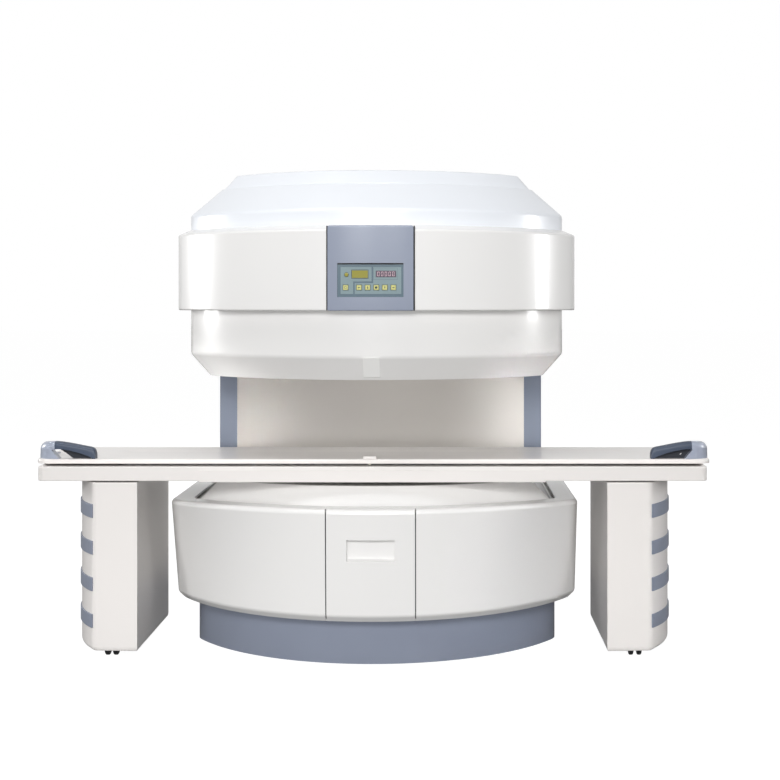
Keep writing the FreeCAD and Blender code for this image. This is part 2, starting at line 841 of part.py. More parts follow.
def centre_marker():
    """Small block on the bevel that marks the centre line of the magnet."""
    body = new_body("centre_marker")
    section = sketch_on(body, "-30", "YZ_Plane")
    slope = "bevel_inset / (bevel_top - belly_low)"
    low = "belly_low + 10"
    high = "bevel_top - 2"
    low_y = f"top_front + bevel_inset - ({slope}) * 10"
    high_y = f"top_front + ({slope}) * 2"
    polygon(section, [(f"{low_y} - fit", low), (f"{low_y} - 7", f"{low} + 2"),
                      (f"{high_y} - 7", high), (f"{high_y} - fit", high)])
    pad(body, section, "60")
    keep(body)


# --- control panel ---------------------------------------------------------------------------------

def arc_slab(label, half, back, low, high, outer):
    """Block with a flat back and a front that follows the band's own centre."""
    disc = new_body(label + "_disc")
    sketch = sketch_on(disc, low)
    circle(sketch, "0", "top_front + top_bow", outer)
    pad(disc, sketch, f"({high}) - ({low})")
    clip = box(label + "_clip", f"-({half})", half, f"{back} - 120", back, low, high)
    return combine(label + "_slice", "Common", disc, clip)


def control_panel():
    outer = "top_bow + band_proud + panel_proud"
    solid = arc_slab("panel", "panel_half", "panel_back", "band_low", "panel_top", outer)
    space = arc_slab("panel_room", "panel_half - panel_wall", "panel_back + 10",
                     "band_low + panel_wall", "panel_top - panel_wall", f"{outer} - 2 * panel_wall - 4")
    shell = combine("panel_shell", "Cut", solid, space)
    window = box("panel_window", "-pad_half", "pad_half", "panel_back - 80", "panel_back - 8", "pad_low", "pad_high")
    opened = combine("panel_open", "Cut", shell, window)
    notches = group("panel_notches", [
        cylinder("notch", x, "top_front - band_proud - panel_proud + 1", "panel_top - 5", "3.5", "10") for x in ("-108", "106")])
    keep(combine("control_panel", "Cut", opened, notches))

    frame = new_body("keypad_frame")
    plate = sketch_on(frame, "-pad_back", "XZ_Plane")
    rectangle(plate, "fit - pad_half", "pad_half - fit", "pad_low + fit", "pad_high - fit")
    pad(frame, plate, "pad_plate", back=True)
    for holes in key_places():
        hole = sketch_on(frame, "5 - pad_back", "XZ_Plane")
        x, z, half_x, half_z = holes
        rectangle(hole, f"{x} - ({half_x}) - fit", f"{x} + {half_x} + fit", f"{z} - ({half_z}) - fit", f"{z} + {half_z} + fit")
        pocket(frame, hole, "pad_plate + 10")
    keep(frame)
    fascia()
    windows()
    keys()


def key_places():
    """Centre and half size of the six key openings."""
    half = "key_size / 2"
    places = [("key_power", "key_level", half, half)]
    for i in range(5):
        places.append((f"(key_first + {i} * key_pitch)", "key_level", half, half))
    return places


def fascia():
    """Two thin printed plates with a stepped gap between them."""
    plates = []
    left, right = "12 - pad_half", "pad_half - 8"
    low, high = "pad_low + 11", "pad_high - 14"
    split_top, split_low, shelf = "4", "-61", "1376"
    outlines = (
        [(left, low), (split_low, low), (split_low, shelf), (split_top, shelf), (split_top, high), (left, high)],
        [(f"{split_low} + 6", low), (right, low), (right, high), (f"{split_top} + 6", high),
         (f"{split_top} + 6", f"{shelf} - 6"), (f"{split_low} + 6", f"{shelf} - 6")])
    holes = key_places()
    for outline, inside in zip(outlines, (holes[:1], holes[1:])):
        plate = new_body("fascia_plate")
        sketch = sketch_on(plate, "-pad_back", "XZ_Plane")
        polygon(sketch, outline)
        for x, z, half_x, half_z in inside:
            rectangle(sketch, f"{x} - ({half_x}) - fit", f"{x} + {half_x} + fit",
                      f"{z} - ({half_z}) - fit", f"{z} + {half_z} + fit")
        pad(plate, sketch, "fascia_thick")
        plates.append(plate)
    keep(group("keypad_fascia", plates))


def windows():
    front = "pad_back - fascia_thick"
    for label, left, right, low, high, thick in (
            ("number_window", "19", "91", "1391.5", "1414", "1.6"),
            ("amber_window", "-65", "-9", "1388.5", "1415", "1.6")):
        body = new_body(label)
        sketch = sketch_on(body, f"-({front})", "XZ_Plane")
        rectangle(sketch, left, right, low, high)
        pad(body, sketch, thick)
        doc.recompute()
        dress(body, "Chamfer", lambda edge: edge.BoundBox.YMax < value(f"{front} - {thick}") + 1e-3, Size="0.6")
        keep(body)
    lamp = new_body("status_lamp")
    sketch = sketch_on(lamp, f"-({front})", "XZ_Plane")
    circle(sketch, "-84.5", "1400", "7")
    pad(lamp, sketch, "3")
    dress(lamp, "Fillet", lambda edge: edge.BoundBox.YMax < value(f"{front} - 3") + 1e-3, Radius="2.5")
    keep(lamp)


def keys():
    """Square key caps with a flange behind the frame that stops them falling out."""
    names = ["key_start"] + [f"key_{word}" for word in ("out", "down", "stop", "up", "in")]
    for label, (x, z, half_x, half_z) in zip(names, key_places()):
        body = new_body(label)
        cap = sketch_on(body, "key_stand + fascia_thick", "XZ_Plane")
        rectangle(cap, f"-({half_x})", half_x, f"-({half_z})", half_z)
        pad(body, cap, "key_stand + fascia_thick + pad_plate + fit", back=True)
        dress(body, "Fillet", lambda edge: abs(edge.BoundBox.XLength) < 1e-3 and abs(edge.BoundBox.ZLength) < 1e-3,
              Radius="3")
        doc.recompute()
        dress(body, "Fillet", lambda edge: edge.BoundBox.YMax < -value("key_stand + fascia_thick") + 1e-3, Radius="1")
        flange = sketch_on(body, "-(pad_plate + fit)", "XZ_Plane")
        rectangle(flange, f"-({half_x}) - 2", f"{half_x} + 2", f"-({half_z}) - 2", f"{half_z} + 2")
        pad(body, flange, "1.5", back=True)
        stand_at(body, x, "pad_back", z)
        keep(body)


# --- patient table -----------------------------------------------------------------------------------

def table_beam():
    """Bridge of the table: a long moulded tray, ribbed where the legs and rails bear on it."""
    body = new_body("table_beam")
    outline = sketch_on(body, "beam_low")
    rectangle(outline, "-beam_half", "beam_half", "beam_front", "beam_rear")
    pad(body, outline, "beam_top - beam_low")
    dress(body, "Fillet", upright, Radius="beam_corner")
    dress(body, "Fillet", lambda edge: level(edge, "beam_top"), Radius="4")
    rooms = sketch_on(body, "beam_low")
    for left, right in (("-apron_half + 3 * beam_wall", "-beam_wall"), ("beam_wall", "apron_half - 3 * beam_wall")):
        rectangle(rooms, left, right, "beam_front + 2 * beam_wall", "beam_rear - 2 * beam_wall")
    pocket(body, rooms, "beam_top - beam_low - beam_wall", up=True)
    keep(body)

    apron = new_body("beam_apron")
    section = sketch_on(apron, "-apron_half", "YZ_Plane")
    front, back = "beam_front - fit", "beam_rear + fit"
    polygon(section, [(f"{front} - apron_thick", "beam_low - fit - apron_thick"),
                      (f"{back} + apron_thick", "beam_low - fit - apron_thick"),
                      (f"{back} + apron_thick", "beam_top - 6"), (back, "beam_top - 5"),
                      (back, "beam_low - fit"), (front, "beam_low - fit"), (front, "beam_top - 5"),
                      (f"{front} - apron_thick", "beam_top - 6")])
    pad(apron, section, "2 * apron_half")
    dress(apron, "Fillet", lambda edge: edge.BoundBox.XLength > value("apron_half")
          and level(edge, "beam_low - fit - apron_thick"), Radius="3")
    keep(apron)


def rails():
    bars = [box("rail", "-rail_half", "rail_half", f"{y} - rail_width / 2", f"{y} + rail_width / 2",
                "beam_top", "beam_top + rail_height") for y in ("rail_front", "rail_back")]
    keep(group("guide_rails", bars))
    blocks = [box("runner", f"{i} * runner_pitch - runner_length / 2", f"{i} * runner_pitch + runner_length / 2",
                  f"{y} - rail_width / 2", f"{y} + rail_width / 2", "beam_top + rail_height + fit", "top_low")
              for i in (-1, 0, 1) for y in ("rail_front", "rail_back")]
    keep(group("top_runners", blocks))


def tabletop():
    """Long slab with a shallow trough along its middle."""
    body = new_body("tabletop")
    outline = sketch_on(body, "top_low")
    rectangle(outline, "-top_length_half", "top_length_half", "slab_front", "slab_rear")
    pad(body, outline, "top_high - top_low")
    dress(body, "Fillet", upright, Radius="slab_corner")
    dress(body, "Fillet", lambda edge: level(edge, "top_high"), Radius="4")
    dress(body, "Fillet", lambda edge: level(edge, "top_low"), Radius="3")
    trough_half = "(top_length_half - grab_inset - grab_length - 40)"
    trough = sketch_on(body, f"-{trough_half}", "YZ_Plane")
    middle = "(slab_front + slab_rear) / 2"
    polygon(trough, [(f"{middle} - 150", "top_high + 1"), (f"{middle} - 60", "top_high - 5"),
                     (f"{middle} + 60", "top_high - 5"), (f"{middle} + 150", "top_high + 1")])
    pocket(body, trough, f"2 * {trough_half}", up=True)
    keep(body)

    block = new_body("index_block")
    plan = sketch_on(block, "top_high")
    rectangle(plan, "-38", "12", "slab_front - 1", "slab_front + 34")
    pad(block, plan, "10")
    dress(block, "Fillet", upright, Radius="8")
    dress(block, "Fillet", lambda edge: level(edge, "top_high + 10"), Radius="4")
    keep(block)


def handle(label, side):
    """Grab handle that stands on a front corner and sweeps round it, pierced for the fingers."""
    body = new_body(label)

    def x(text):
        return f"{side} * ({text})"

    def along(share):
        """Distance across the table of a share of the handle's length, measured from its outside."""
        return x(f"top_length_half - grab_inset - {share} * grab_length")

    plan = sketch_on(body, "top_high")
    front = "slab_front + 3"
    n = plan.GeometryCount
    radius = value("grab_turn")
    thick = value("grab_thick")
    out, y0 = value("top_length_half - grab_inset"), value(front)
    cx, cy = out - radius, y0 + radius
    inner_x, end_y = out - value("grab_length"), value(f"{front} + grab_reach")
    p = [V(side * inner_x, y0, 0), V(side * cx, y0, 0), V(side * out, cy, 0), V(side * out, end_y, 0),
         V(side * (out - thick), end_y, 0), V(side * (out - thick), cy, 0), V(side * cx, y0 + thick, 0),
         V(side * inner_x, y0 + thick, 0)]
    if side > 0:
        outer_arc = arc(cx, cy, radius, -math.pi / 2, 0)
        inner_arc = arc(cx, cy, radius - thick, -math.pi / 2, 0)
    else:
        outer_arc = arc(-cx, cy, radius, math.pi, 1.5 * math.pi)
        inner_arc = arc(-cx, cy, radius - thick, math.pi, 1.5 * math.pi)
    plan.addGeometry([Part.LineSegment(p[0], p[1]), outer_arc, Part.LineSegment(p[2], p[3]),
                      Part.LineSegment(p[3], p[4]), Part.LineSegment(p[4], p[5]), inner_arc,
                      Part.LineSegment(p[6], p[7]), Part.LineSegment(p[7], p[0])], False)
    low_end, high_end = (1, 2) if side > 0 else (2, 1)
    for a, ea, b, eb in ((0, 2, 1, low_end), (1, high_end, 2, 1), (4, 2, 5, high_end), (5, low_end, 6, 1)):
        plan.addConstraint(Sketcher.Constraint("Tangent", n + a, ea, n + b, eb))
    for a, b in ((2, 3), (3, 4), (6, 7), (7, 0)):
        plan.addConstraint(Sketcher.Constraint("Coincident", n + a, 2, n + b, 1))
    plan.addConstraint(Sketcher.Constraint("Coincident", n + 1, 3, n + 5, 3))
    for line in (0, 3, 6):
        plan.addConstraint(Sketcher.Constraint("Horizontal", n + line))
    for line in (2, 4, 7):
        plan.addConstraint(Sketcher.Constraint("Vertical", n + line))
    dimension(plan, Sketcher.Constraint("Radius", n + 1, radius), "grab_turn")
    dimension(plan, Sketcher.Constraint("Radius", n + 5, radius - thick), "grab_turn - grab_thick")
    place_point(plan, n, 1, along("1"), front)
    place_point(plan, n + 2, 2, along("0"), f"{front} + grab_reach")
    pad(body, plan, "grab_high - top_high")

    # crown line seen from the front: high over the corner, falling towards the middle of the table
    over = sketch_on(body, "-slab_front + 10", "XZ_Plane")
    crown = (("1.05", "grab_end_high - 12"), ("1", "grab_end_high - 8"), ("0.97", "grab_end_high"),
             ("0.72", "grab_end_high + 9"), ("0.44", "grab_high - 2"), ("0.31", "grab_high"),
             ("0.19", "grab_high"), ("0.09", "grab_high - 7"), ("0.03", "grab_high - 20"),
             ("0", "grab_high - 38"), ("-0.05", "grab_high - 38"))
    polygon(over, [(along("1.05"), "grab_high + 10")] + [(along(share), height) for share, height in crown]
            + [(along("-0.05"), "grab_high + 10")])
    pocket(body, over, "grab_reach + 40")
    # crown line seen from the end: it falls to the table behind the corner
    fall = sketch_on(body, along("-0.05"), "YZ_Plane")
    polygon(fall, [(f"{front} + grab_turn", "grab_high + 10"), (f"{front} + grab_turn", "grab_high"),
                   (f"{front} + grab_reach * 0.7", "top_high + 34"), (f"{front} + grab_reach - 8", "top_high + 12"),
                   (f"{front} + grab_reach + 10", "top_high + 6"), (f"{front} + grab_reach + 10", "grab_high + 10")])
    pocket(body, fall, "1.2 * grab_length", up=side < 0)
    # finger opening: right through beside the corner, then a blind hollow under the crown
    through = sketch_on(body, "-slab_front + 10", "XZ_Plane")
    polygon(through, [(along("0.29"), "grab_high - 30"), (along("0.31"), "grab_high - 27"),
                      (along("0.56"), "grab_high - 35"), (along("0.58"), "top_high + 5"),
                      (along("0.44"), "top_high + 5")])
    pocket(body, through, "grab_thick + 30")
    blind = sketch_on(body, "-slab_front + 10", "XZ_Plane")
    polygon(blind, [(along("0.555"), "grab_high - 35"), (along("0.74"), "grab_high - 44"),
                    (along("0.89"), "top_high + 6"), (along("0.87"), "top_high + 5"),
                    (along("0.575"), "top_high + 5")])
    pocket(body, blind, "grab_thick")
    keep(body)


def leg_outline(sketch, side, inset="0"):
    """Plan of a leg: flat inside and front, swelling outer side."""
    inner, flat, outer = (f"leg_inner + ({inset})", "leg_flat", f"leg_outer - ({inset})")
    front, rear = f"beam_front + ({inset})", f"leg_rear - ({inset})"
    a, b, c, f, r = (value(text) for text in (inner, flat, outer, front, rear))
    k = value(f"leg_corner - ({inset})")
    mid = (f + r) / 2
    # the swelling arc passes through the middle of the outer side; short corner arcs join it to the ends
    rise = value("leg_outer - leg_flat - leg_corner")
    chord = (r - f) / 2 - k
    bow = (chord ** 2 + rise ** 2) / (2 * rise)
    centre = c - bow
    lean = math.asin(((r - k) - mid) / (bow - k))
    kx = centre + (bow - k) * math.cos(lean)
    n = sketch.GeometryCount

    def pt(x, y):
        return V(side * x, y, 0)

    low_corner = (kx, f + k)
    high_corner = (kx, r - k)
    if side > 0:
        arcs = [arc(low_corner[0], low_corner[1], k, -math.pi / 2, -lean),
                arc(centre, mid, bow, -lean, lean),
                arc(high_corner[0], high_corner[1], k, lean, math.pi / 2)]
        order = [(0, 2, 1, 1), (1, 2, 2, 1), (2, 2, 3, 1), (3, 2, 4, 1)]
    else:
        arcs = [arc(-low_corner[0], low_corner[1], k, math.pi + lean, 1.5 * math.pi),
                arc(-centre, mid, bow, math.pi - lean, math.pi + lean),
                arc(-high_corner[0], high_corner[1], k, math.pi / 2, math.pi - lean)]
        order = [(0, 2, 1, 2), (1, 1, 2, 2), (2, 1, 3, 2), (3, 1, 4, 1)]
    sketch.addGeometry([Part.LineSegment(pt(a, f), pt(kx, f)), arcs[0], arcs[1], arcs[2],
                        Part.LineSegment(pt(kx, r), pt(a, r)), Part.LineSegment(pt(a, r), pt(a, f))], False)
    for g, eg, h, eh in order:
        sketch.addConstraint(Sketcher.Constraint("Tangent", n + g, eg, n + h, eh))
    sketch.addConstraint(Sketcher.Constraint("Coincident", n + 4, 2, n + 5, 1))
    sketch.addConstraint(Sketcher.Constraint("Coincident", n + 5, 2, n, 1))
    sketch.addConstraint(Sketcher.Constraint("Horizontal", n))
    sketch.addConstraint(Sketcher.Constraint("Horizontal", n + 4))
    sketch.addConstraint(Sketcher.Constraint("Vertical", n + 5))
    place_point(sketch, n, 1, f"{side} * ({inner})", front)
    dimension(sketch, Sketcher.Constraint("DistanceY", -1, 1, n + 4, 2, r), rear)
    for g in (1, 3):
        dimension(sketch, Sketcher.Constraint("Radius", n + g, k), f"leg_corner - ({inset})")
    dimension(sketch, Sketcher.Constraint("Radius", n + 2, bow), f"{bow + value(inset)} - ({inset})")
    dimension(sketch, Sketcher.Constraint("DistanceX", -1, 1, n + 2, 3, side * centre),
              f"{side} * (leg_outer - {bow + value(inset)})")


def leg(side, word):
    body = new_body(word + "_leg")
    outline = sketch_on(body, "leg_low")
    leg_outline(outline, side)
    pad(body, outline, "beam_low - leg_low")
    dress(body, "Fillet", lambda edge: level(edge, "leg_low") and abs(edge.BoundBox.Center.x) > value("leg_flat"),
          Radius="leg_toe")
    room = sketch_on(body, "sole_low - fit")
    leg_outline(room, side, "leg_wall")
    pocket(body, room, "beam_low - leg_wall - sole_low + fit", up=True)
    wells = sketch_on(body, "leg_low")
    for y in ("caster_front", "caster_back"):
        circle(wells, f"{side} * caster_across", y, "caster_well")
    pocket(body, wells, "sole_low - leg_low", up=True)
    keep(body)

    straps = []
    for i in range(4):
        low = f"(strap_first + {i} * strap_pitch)"
        band = new_body("strap_band")
        ring = sketch_on(band, low)
        leg_outline(ring, side, "-strap_thick")
        pad(band, ring, "strap_height")
        core = sketch_on(band, f"{low} + strap_height")
        leg_outline(core, side)
        pocket(band, core, "strap_height")
        reach = sorted((f"{side} * strap_start", f"{side} * (leg_outer + 20)"), key=value)
        clip = box("strap_clip", reach[0], reach[1], "beam_front - 20", "leg_rear + 20", low, f"{low} + strap_height")
        straps.append(combine("strap", "Common", band, clip))
    keep(group(word + "_leg_straps", straps))


def leg_frames():
    """Welded frame inside each leg: sole plate over the casters, two posts up to the beam."""
    frames = []
    for side in (-1, 1):
        def span(near, far):
            return sorted((f"{side} * ({near})", f"{side} * ({far})"), key=value)
        left, right = span("leg_inner + leg_wall", "caster_across + 30")
        sole = box("sole", left, right, "beam_front + leg_wall", "leg_rear - leg_wall", "sole_low", "sole_low + sole_thick")
        posts = []
        for y in ("caster_front", "caster_back"):
            x0, x1 = span("caster_across - 30", "caster_across + 30")
            posts.append(box("post", x0, x1, f"{y} - 20", f"{y} + 20", "sole_low + sole_thick", "beam_low - leg_wall"))
        frame = sole
        for post in posts:
            frame = combine("leg_frame", "Fuse", frame, post)
        frames.append(frame)
    cut = []
    for side, frame in zip((-1, 1), frames):
        bores = group("stem_bores", [cylinder("stem_bore", f"{side} * caster_across", y, "sole_low - 1",
                                              "stem_radius + 0.05", "25") for y in ("caster_front", "caster_back")])
        cut.append(combine("leg_frame_bored", "Cut", frame, bores))
    keep(group("leg_frames", cut))


def caster(word, side, y):
    """Twin-wheel caster: a hood and web between two wheels that trail behind the stem."""
    fork = new_body("caster_fork_" + word)
    web = sketch_on(fork, "5.5", "YZ_Plane")
    axle = "wheel_radius"
    polygon(web, [("trail - 9", f"{axle} - 9"), ("trail + 9", f"{axle} - 9"), ("trail + 12", f"{axle} + 10"),
                  ("trail + 4", "sole_low - 12"), ("-12", "sole_low - 12"), ("-12", "sole_low - 24")])
    pad(fork, web, "11", back=True)
    hood = sketch_on(fork, "sole_low - 13")
    circle(hood, "0", "0", "17")
    pad(fork, hood, "12.7")
    stem = sketch_on(fork, "sole_low - 2")
    circle(stem, "0", "0", "stem_radius")
    pad(fork, stem, "24")
    bore = sketch_on(fork, "20", "YZ_Plane")
    circle(bore, "trail", axle, "4.05")
    pocket(fork, bore, "40")
    stand_at(fork, f"{side} * caster_across", y, "0")
    keep(fork)

    wheels = new_body("caster_wheels_" + word)
    half = "(wheel_gap / 2 + wheel_width)"
    turn = sketch_on(wheels, role="XY_Plane")
    polygon(turn, [("4", f"-{half}"), ("wheel_radius - 4", f"-{half}"), ("wheel_radius", f"4 - {half}"),
                   ("wheel_radius", "-wheel_gap / 2"), ("12", "-wheel_gap / 2"), ("4", "-wheel_gap / 2"),
                   ("4", "wheel_gap / 2"), ("12", "wheel_gap / 2"), ("wheel_radius", "wheel_gap / 2"),
                   ("wheel_radius", f"{half} - 4"), ("wheel_radius - 4", half), ("4", half),
                   ("0", half), ("0", f"-{half}")])
    spin = wheels.newObject("PartDesign::Revolution", "wheels_spin")
    spin.Profile = turn
    spin.ReferenceAxis = (turn, ["V_Axis"])
    spin.Angle = 360
    wheels.Tip = spin
    wheels.Placement = FreeCAD.Placement(V(0, 0, 0), FreeCAD.Rotation(V(0, 0, 1), 90))
    stand_at(wheels, f"{side} * caster_across", f"{y} + trail", "wheel_radius")
    keep(wheels)


levelling_feet()
bowed_shell("floor_skirt", "skirt", "0", "skirt_top", "0", "skirt_wall")
yoke()
pole_side("lower", "lower_yoke_top", 1)
pole_side("upper", "upper_yoke_low", -1)
lower_housing()
column()
upper_skirt()
upper_belly()
upper_band()
roof()
centre_marker()
control_panel()
table_beam()
rails()
tabletop()
handle("left_handle", -1)
handle("right_handle", 1)
leg(-1, "left")
leg(1, "right")
leg_frames()
caster("front_left", -1, "caster_front")
caster("front_right", 1, "caster_front")
caster("rear_left", -1, "caster_back")
caster("rear_right", 1, "caster_back")

doc.recompute()
for item in doc.Objects:
    if "Invalid" in item.State or "Error" in item.State:
        raise RuntimeError(f"{item.Label} ({item.Name}) failed: {item.State}")
for item in nodes:
    if item.Shape.isNull() or not item.Shape.isValid():
        raise RuntimeError(f"{item.Label} has no valid shape")
for item in nodes:
    item.Shape.exportStep(f"parts/{item.Label}.step")
    print(item.Label, len(item.Shape.Solids), round(item.Shape.Volume / 1e3), "cm3")
print(len(nodes), "nodes")
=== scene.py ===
import math
import bpy
import bmesh
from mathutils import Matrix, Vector


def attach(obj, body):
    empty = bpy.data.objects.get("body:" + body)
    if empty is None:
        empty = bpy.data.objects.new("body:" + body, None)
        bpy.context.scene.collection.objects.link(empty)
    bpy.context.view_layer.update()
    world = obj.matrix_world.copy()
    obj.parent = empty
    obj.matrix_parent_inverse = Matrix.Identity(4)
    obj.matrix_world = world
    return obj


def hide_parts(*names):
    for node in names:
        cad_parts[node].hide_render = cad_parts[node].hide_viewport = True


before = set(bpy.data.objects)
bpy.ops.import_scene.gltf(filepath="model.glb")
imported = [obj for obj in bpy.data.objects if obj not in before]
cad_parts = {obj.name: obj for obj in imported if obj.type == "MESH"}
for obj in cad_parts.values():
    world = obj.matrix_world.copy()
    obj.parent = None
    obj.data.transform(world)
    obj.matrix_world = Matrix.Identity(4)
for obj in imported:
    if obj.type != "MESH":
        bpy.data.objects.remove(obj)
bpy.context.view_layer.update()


# --- steel core: feet, yoke, magnet blocks ---------------------------------------------------------
# A welded C of thick mild-steel plates carries two blocks of permanent magnet, each behind a pole
# plate and a printed coil. It stands on six levelling feet and is all but hidden by the covers.

def shade(code):
    """sRGB hex to the linear values that the shader takes."""
    values = [int(code[i:i + 2], 16) / 255 for i in (1, 3, 5)]
    return [v / 12.92 if v <= 0.04045 else ((v + 0.055) / 1.055) ** 2.4 for v in values] + [1.0]


def add(tree, kind, links=(), **settings):
    """Adds a node: settings go to its inputs or properties, links are (output socket, input)."""
    node = tree.nodes.new(kind)
    for name, value in settings.items():
        if name in node.bl_rna.properties:
            setattr(node, name, value)
        else:
            node.inputs[name.replace("_", " ")].default_value = value
    for source, target in links:
        tree.links.new(source, node.inputs[target])
    return node


def finish_of(name, pale, deep, cloud_mm, grain_mm, lift_mm, stretch=(1, 1, 1), depth=0.3,
              **surface_settings):
    """A finish in two near shades that drift over cloud_mm, with a relief of grains grain_mm apart."""
    finish = bpy.data.materials.new(name)
    finish.use_nodes = True
    tree = finish.node_tree
    surface = tree.nodes["Principled BSDF"]
    for key, value in surface_settings.items():
        surface.inputs[key.replace("_", " ")].default_value = value
    place = add(tree, "ShaderNodeTexCoord")
    laid = add(tree, "ShaderNodeMapping", [(place.outputs["Object"], "Vector")], Scale=stretch)
    clouds = add(tree, "ShaderNodeTexNoise", [(laid.outputs["Vector"], "Vector")],
                 Scale=1000 / cloud_mm, Detail=3.0)
    tint = add(tree, "ShaderNodeMix", [(clouds.outputs["Fac"], 0)], data_type="RGBA")
    tint.inputs[6].default_value, tint.inputs[7].default_value = shade(pale), shade(deep)
    tree.links.new(tint.outputs[2], surface.inputs["Base Color"])
    grain = add(tree, "ShaderNodeTexNoise", [(laid.outputs["Vector"], "Vector")],
                Scale=1000 / grain_mm, Detail=1.5)
    relief = add(tree, "ShaderNodeBump", [(grain.outputs["Fac"], "Height")],
                 Strength=depth, Distance=lift_mm / 1000)
    tree.links.new(relief.outputs["Normal"], surface.inputs["Normal"])
    return finish


def coat(finish, *nodes):
    """Puts a finish on CAD pieces whose shape is already right."""
    for name in nodes:
        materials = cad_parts[name].data.materials
        materials.clear()
        materials.append(finish)


# Mild-steel plate, milled and lightly oiled: fine streaks about 1.5 mm apart along X, dull sheen.
milled_steel = finish_of("milled_mild_steel", "#8D8F92", "#77797D", 90, 1.5, 0.02,
                         stretch=(0.08, 1, 1), Metallic=1.0, Roughness=0.42)
# Zinc-plated feet: a brighter grey with a soft bloom.
zinc_plate = finish_of("zinc_plated_steel", "#A6A8AA", "#96989B", 30, 0.8, 0.01,
                       Metallic=1.0, Roughness=0.36)
# Sintered magnet blocks in black epoxy: satin, with a fine pebble.
epoxy_black = finish_of("black_epoxy_on_magnet", "#26282B", "#1C1E21", 40, 1.0, 0.03,
                        Roughness=0.5, IOR=1.52)
# Coil printed on glass-fibre laminate: dark green-brown board with its weave just showing.
laminate_board = finish_of("glass_fibre_laminate", "#3A4034", "#2F352B", 25, 0.9, 0.02,
                           Roughness=0.45, IOR=1.55)
coat(milled_steel, "base_yoke", "top_yoke", "yoke_post", "yoke_bolts", "lower_pole", "upper_pole")
coat(zinc_plate, "levelling_feet")
coat(epoxy_black, "lower_magnet", "upper_magnet")
coat(laminate_board, "lower_coil", "upper_coil")


# --- plinth: the skirt round the foot ---------------------------------------------------------------
# A folded steel skirt, powder-coated blue-grey, stands round the yoke and carries the lower cover.
# Like every cover it is bowed in front, straight at the sides and round at the corners.

def sweep(points, x, y, radius, start, end, count):
    """Adds an arc of count steps about (x, y) to a plan."""
    for i in range(count + 1):
        t = start + (end - start) * i / count
        points.append((x + radius * math.cos(t), y + radius * math.sin(t)))


def cover_plan(form, inset=0.0):
    """Points round a cover: form holds half width, front, bow, corner, rear and rear corner."""
    half, front, bow, corner, rear, rear_corner = form
    middle, r, c, q = front + bow, bow - inset, max(corner - inset, 0.004), max(rear_corner - inset, 0.004)
    h, b = half - inset, rear - inset
    side = middle - math.sqrt((r - c) ** 2 - (h - c) ** 2)
    turn = math.atan2(side - middle, h - c)
    right = []
    sweep(right, 0.0, middle, r, -math.pi / 2, turn, 60)
    sweep(right, h - c, side, c, turn, 0.0, 16)
    right += [(h, side + (b - q - side) * i / 6) for i in range(1, 6)]
    sweep(right, h - q, b - q, q, 0.0, math.pi / 2, 20)
    right.append((0.0, b))
    return right + [(-x, y) for x, y in reversed(right[1:-1])]


def leaning(low, high, share, low_inset, high_inset=None):
    """A plan part of the way from a lower form to a higher one."""
    share = min(max(share, 0.0), 1.0)
    high_inset = low_inset if high_inset is None else high_inset
    return [(a + (c - a) * share, b + (d - b) * share)
            for (a, b), (c, d) in zip(cover_plan(low, low_inset), cover_plan(high, high_inset))]


def rounded(corners):
    """Section of (inset, height) whose corners with a third number are rounded to that radius."""
    out = []
    count = len(corners)
    for i, corner in enumerate(corners):
        point = Vector(corner[:2])
        if len(corner) < 3:
            out.append(tuple(point))
            continue
        before, after = Vector(corners[i - 1][:2]), Vector(corners[(i + 1) % count][:2])
        u, v = (before - point).normalized(), (after - point).normalized()
        angle = u.angle(v)
        room = 0.49 * min((before - point).length, (after - point).length)
        reach = min(corner[2] / math.tan(angle / 2), room)
        centre = point + (u + v).normalized() * (reach / math.cos(angle / 2))
        first, last = point + u * reach - centre, point + v * reach - centre
        steps = 6 if corner[2] > 0.004 else 3
        out += [tuple(centre + first.lerp(last, s / steps).normalized() * first.length)
                for s in range(steps + 1)]
    return out


def made(name, points, faces, soft_below=34):
    """Mesh piece from points and faces, smooth except across real edges."""
    mesh = bpy.data.meshes.new(name)
    mesh.from_pydata([tuple(p) for p in points], [], faces)
    shape = bmesh.new()
    shape.from_mesh(mesh)
    bmesh.ops.remove_doubles(shape, verts=shape.verts, dist=0.00002)
    bmesh.ops.dissolve_degenerate(shape, edges=shape.edges, dist=0.00001)
    bmesh.ops.recalc_face_normals(shape, faces=shape.faces)
    shape.to_mesh(mesh)
    shape.free()
    mesh.polygons.foreach_set("use_smooth", [True] * len(mesh.polygons))
    mesh.set_sharp_from_angle(angle=math.radians(soft_below))
    piece = bpy.data.objects.new(name, mesh)
    bpy.context.scene.collection.objects.link(piece)
    return piece


def skinned(name, rings, levels, ring_shut=True, section_shut=True, lid=False, foot=False, soft_below=34):
    """Skins a stack of plans, lists of (x, y), at their levels; lid and foot close an open section."""
    width, rows = len(rings[0]), len(rings)
    points = [(x, y, z) for ring, z in zip(rings, levels) for x, y in ring]
    faces = []
    for j in range(rows if section_shut else rows - 1):
        k = (j + 1) % rows
        for i in range(width if ring_shut else width - 1):
            n = (i + 1) % width
            faces.append((j * width + i, j * width + n, k * width + n, k * width + i))
    if lid:
        faces.append(tuple((rows - 1) * width + i for i in range(width)))
    if foot:
        faces.append(tuple(reversed(range(width))))
    if not ring_shut:
        faces.append(tuple(j * width for j in range(rows)))
        faces.append(tuple(j * width + width - 1 for j in reversed(range(rows))))
    return made(name, points, faces, soft_below)


def fitted(piece, body, slot, finish, *nodes):
    """Gives a piece its body, its finish and the CAD nodes that it stands for; slot is not used."""
    piece.data.materials.clear()
    piece.data.materials.append(finish)
    # broad faces keep their own shading where they meet a narrow rounding
    even = piece.modifiers.new("even_shading", "WEIGHTED_NORMAL")
    even.keep_sharp = True
    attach(piece, body)
    if nodes:
        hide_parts(*nodes)
    return piece


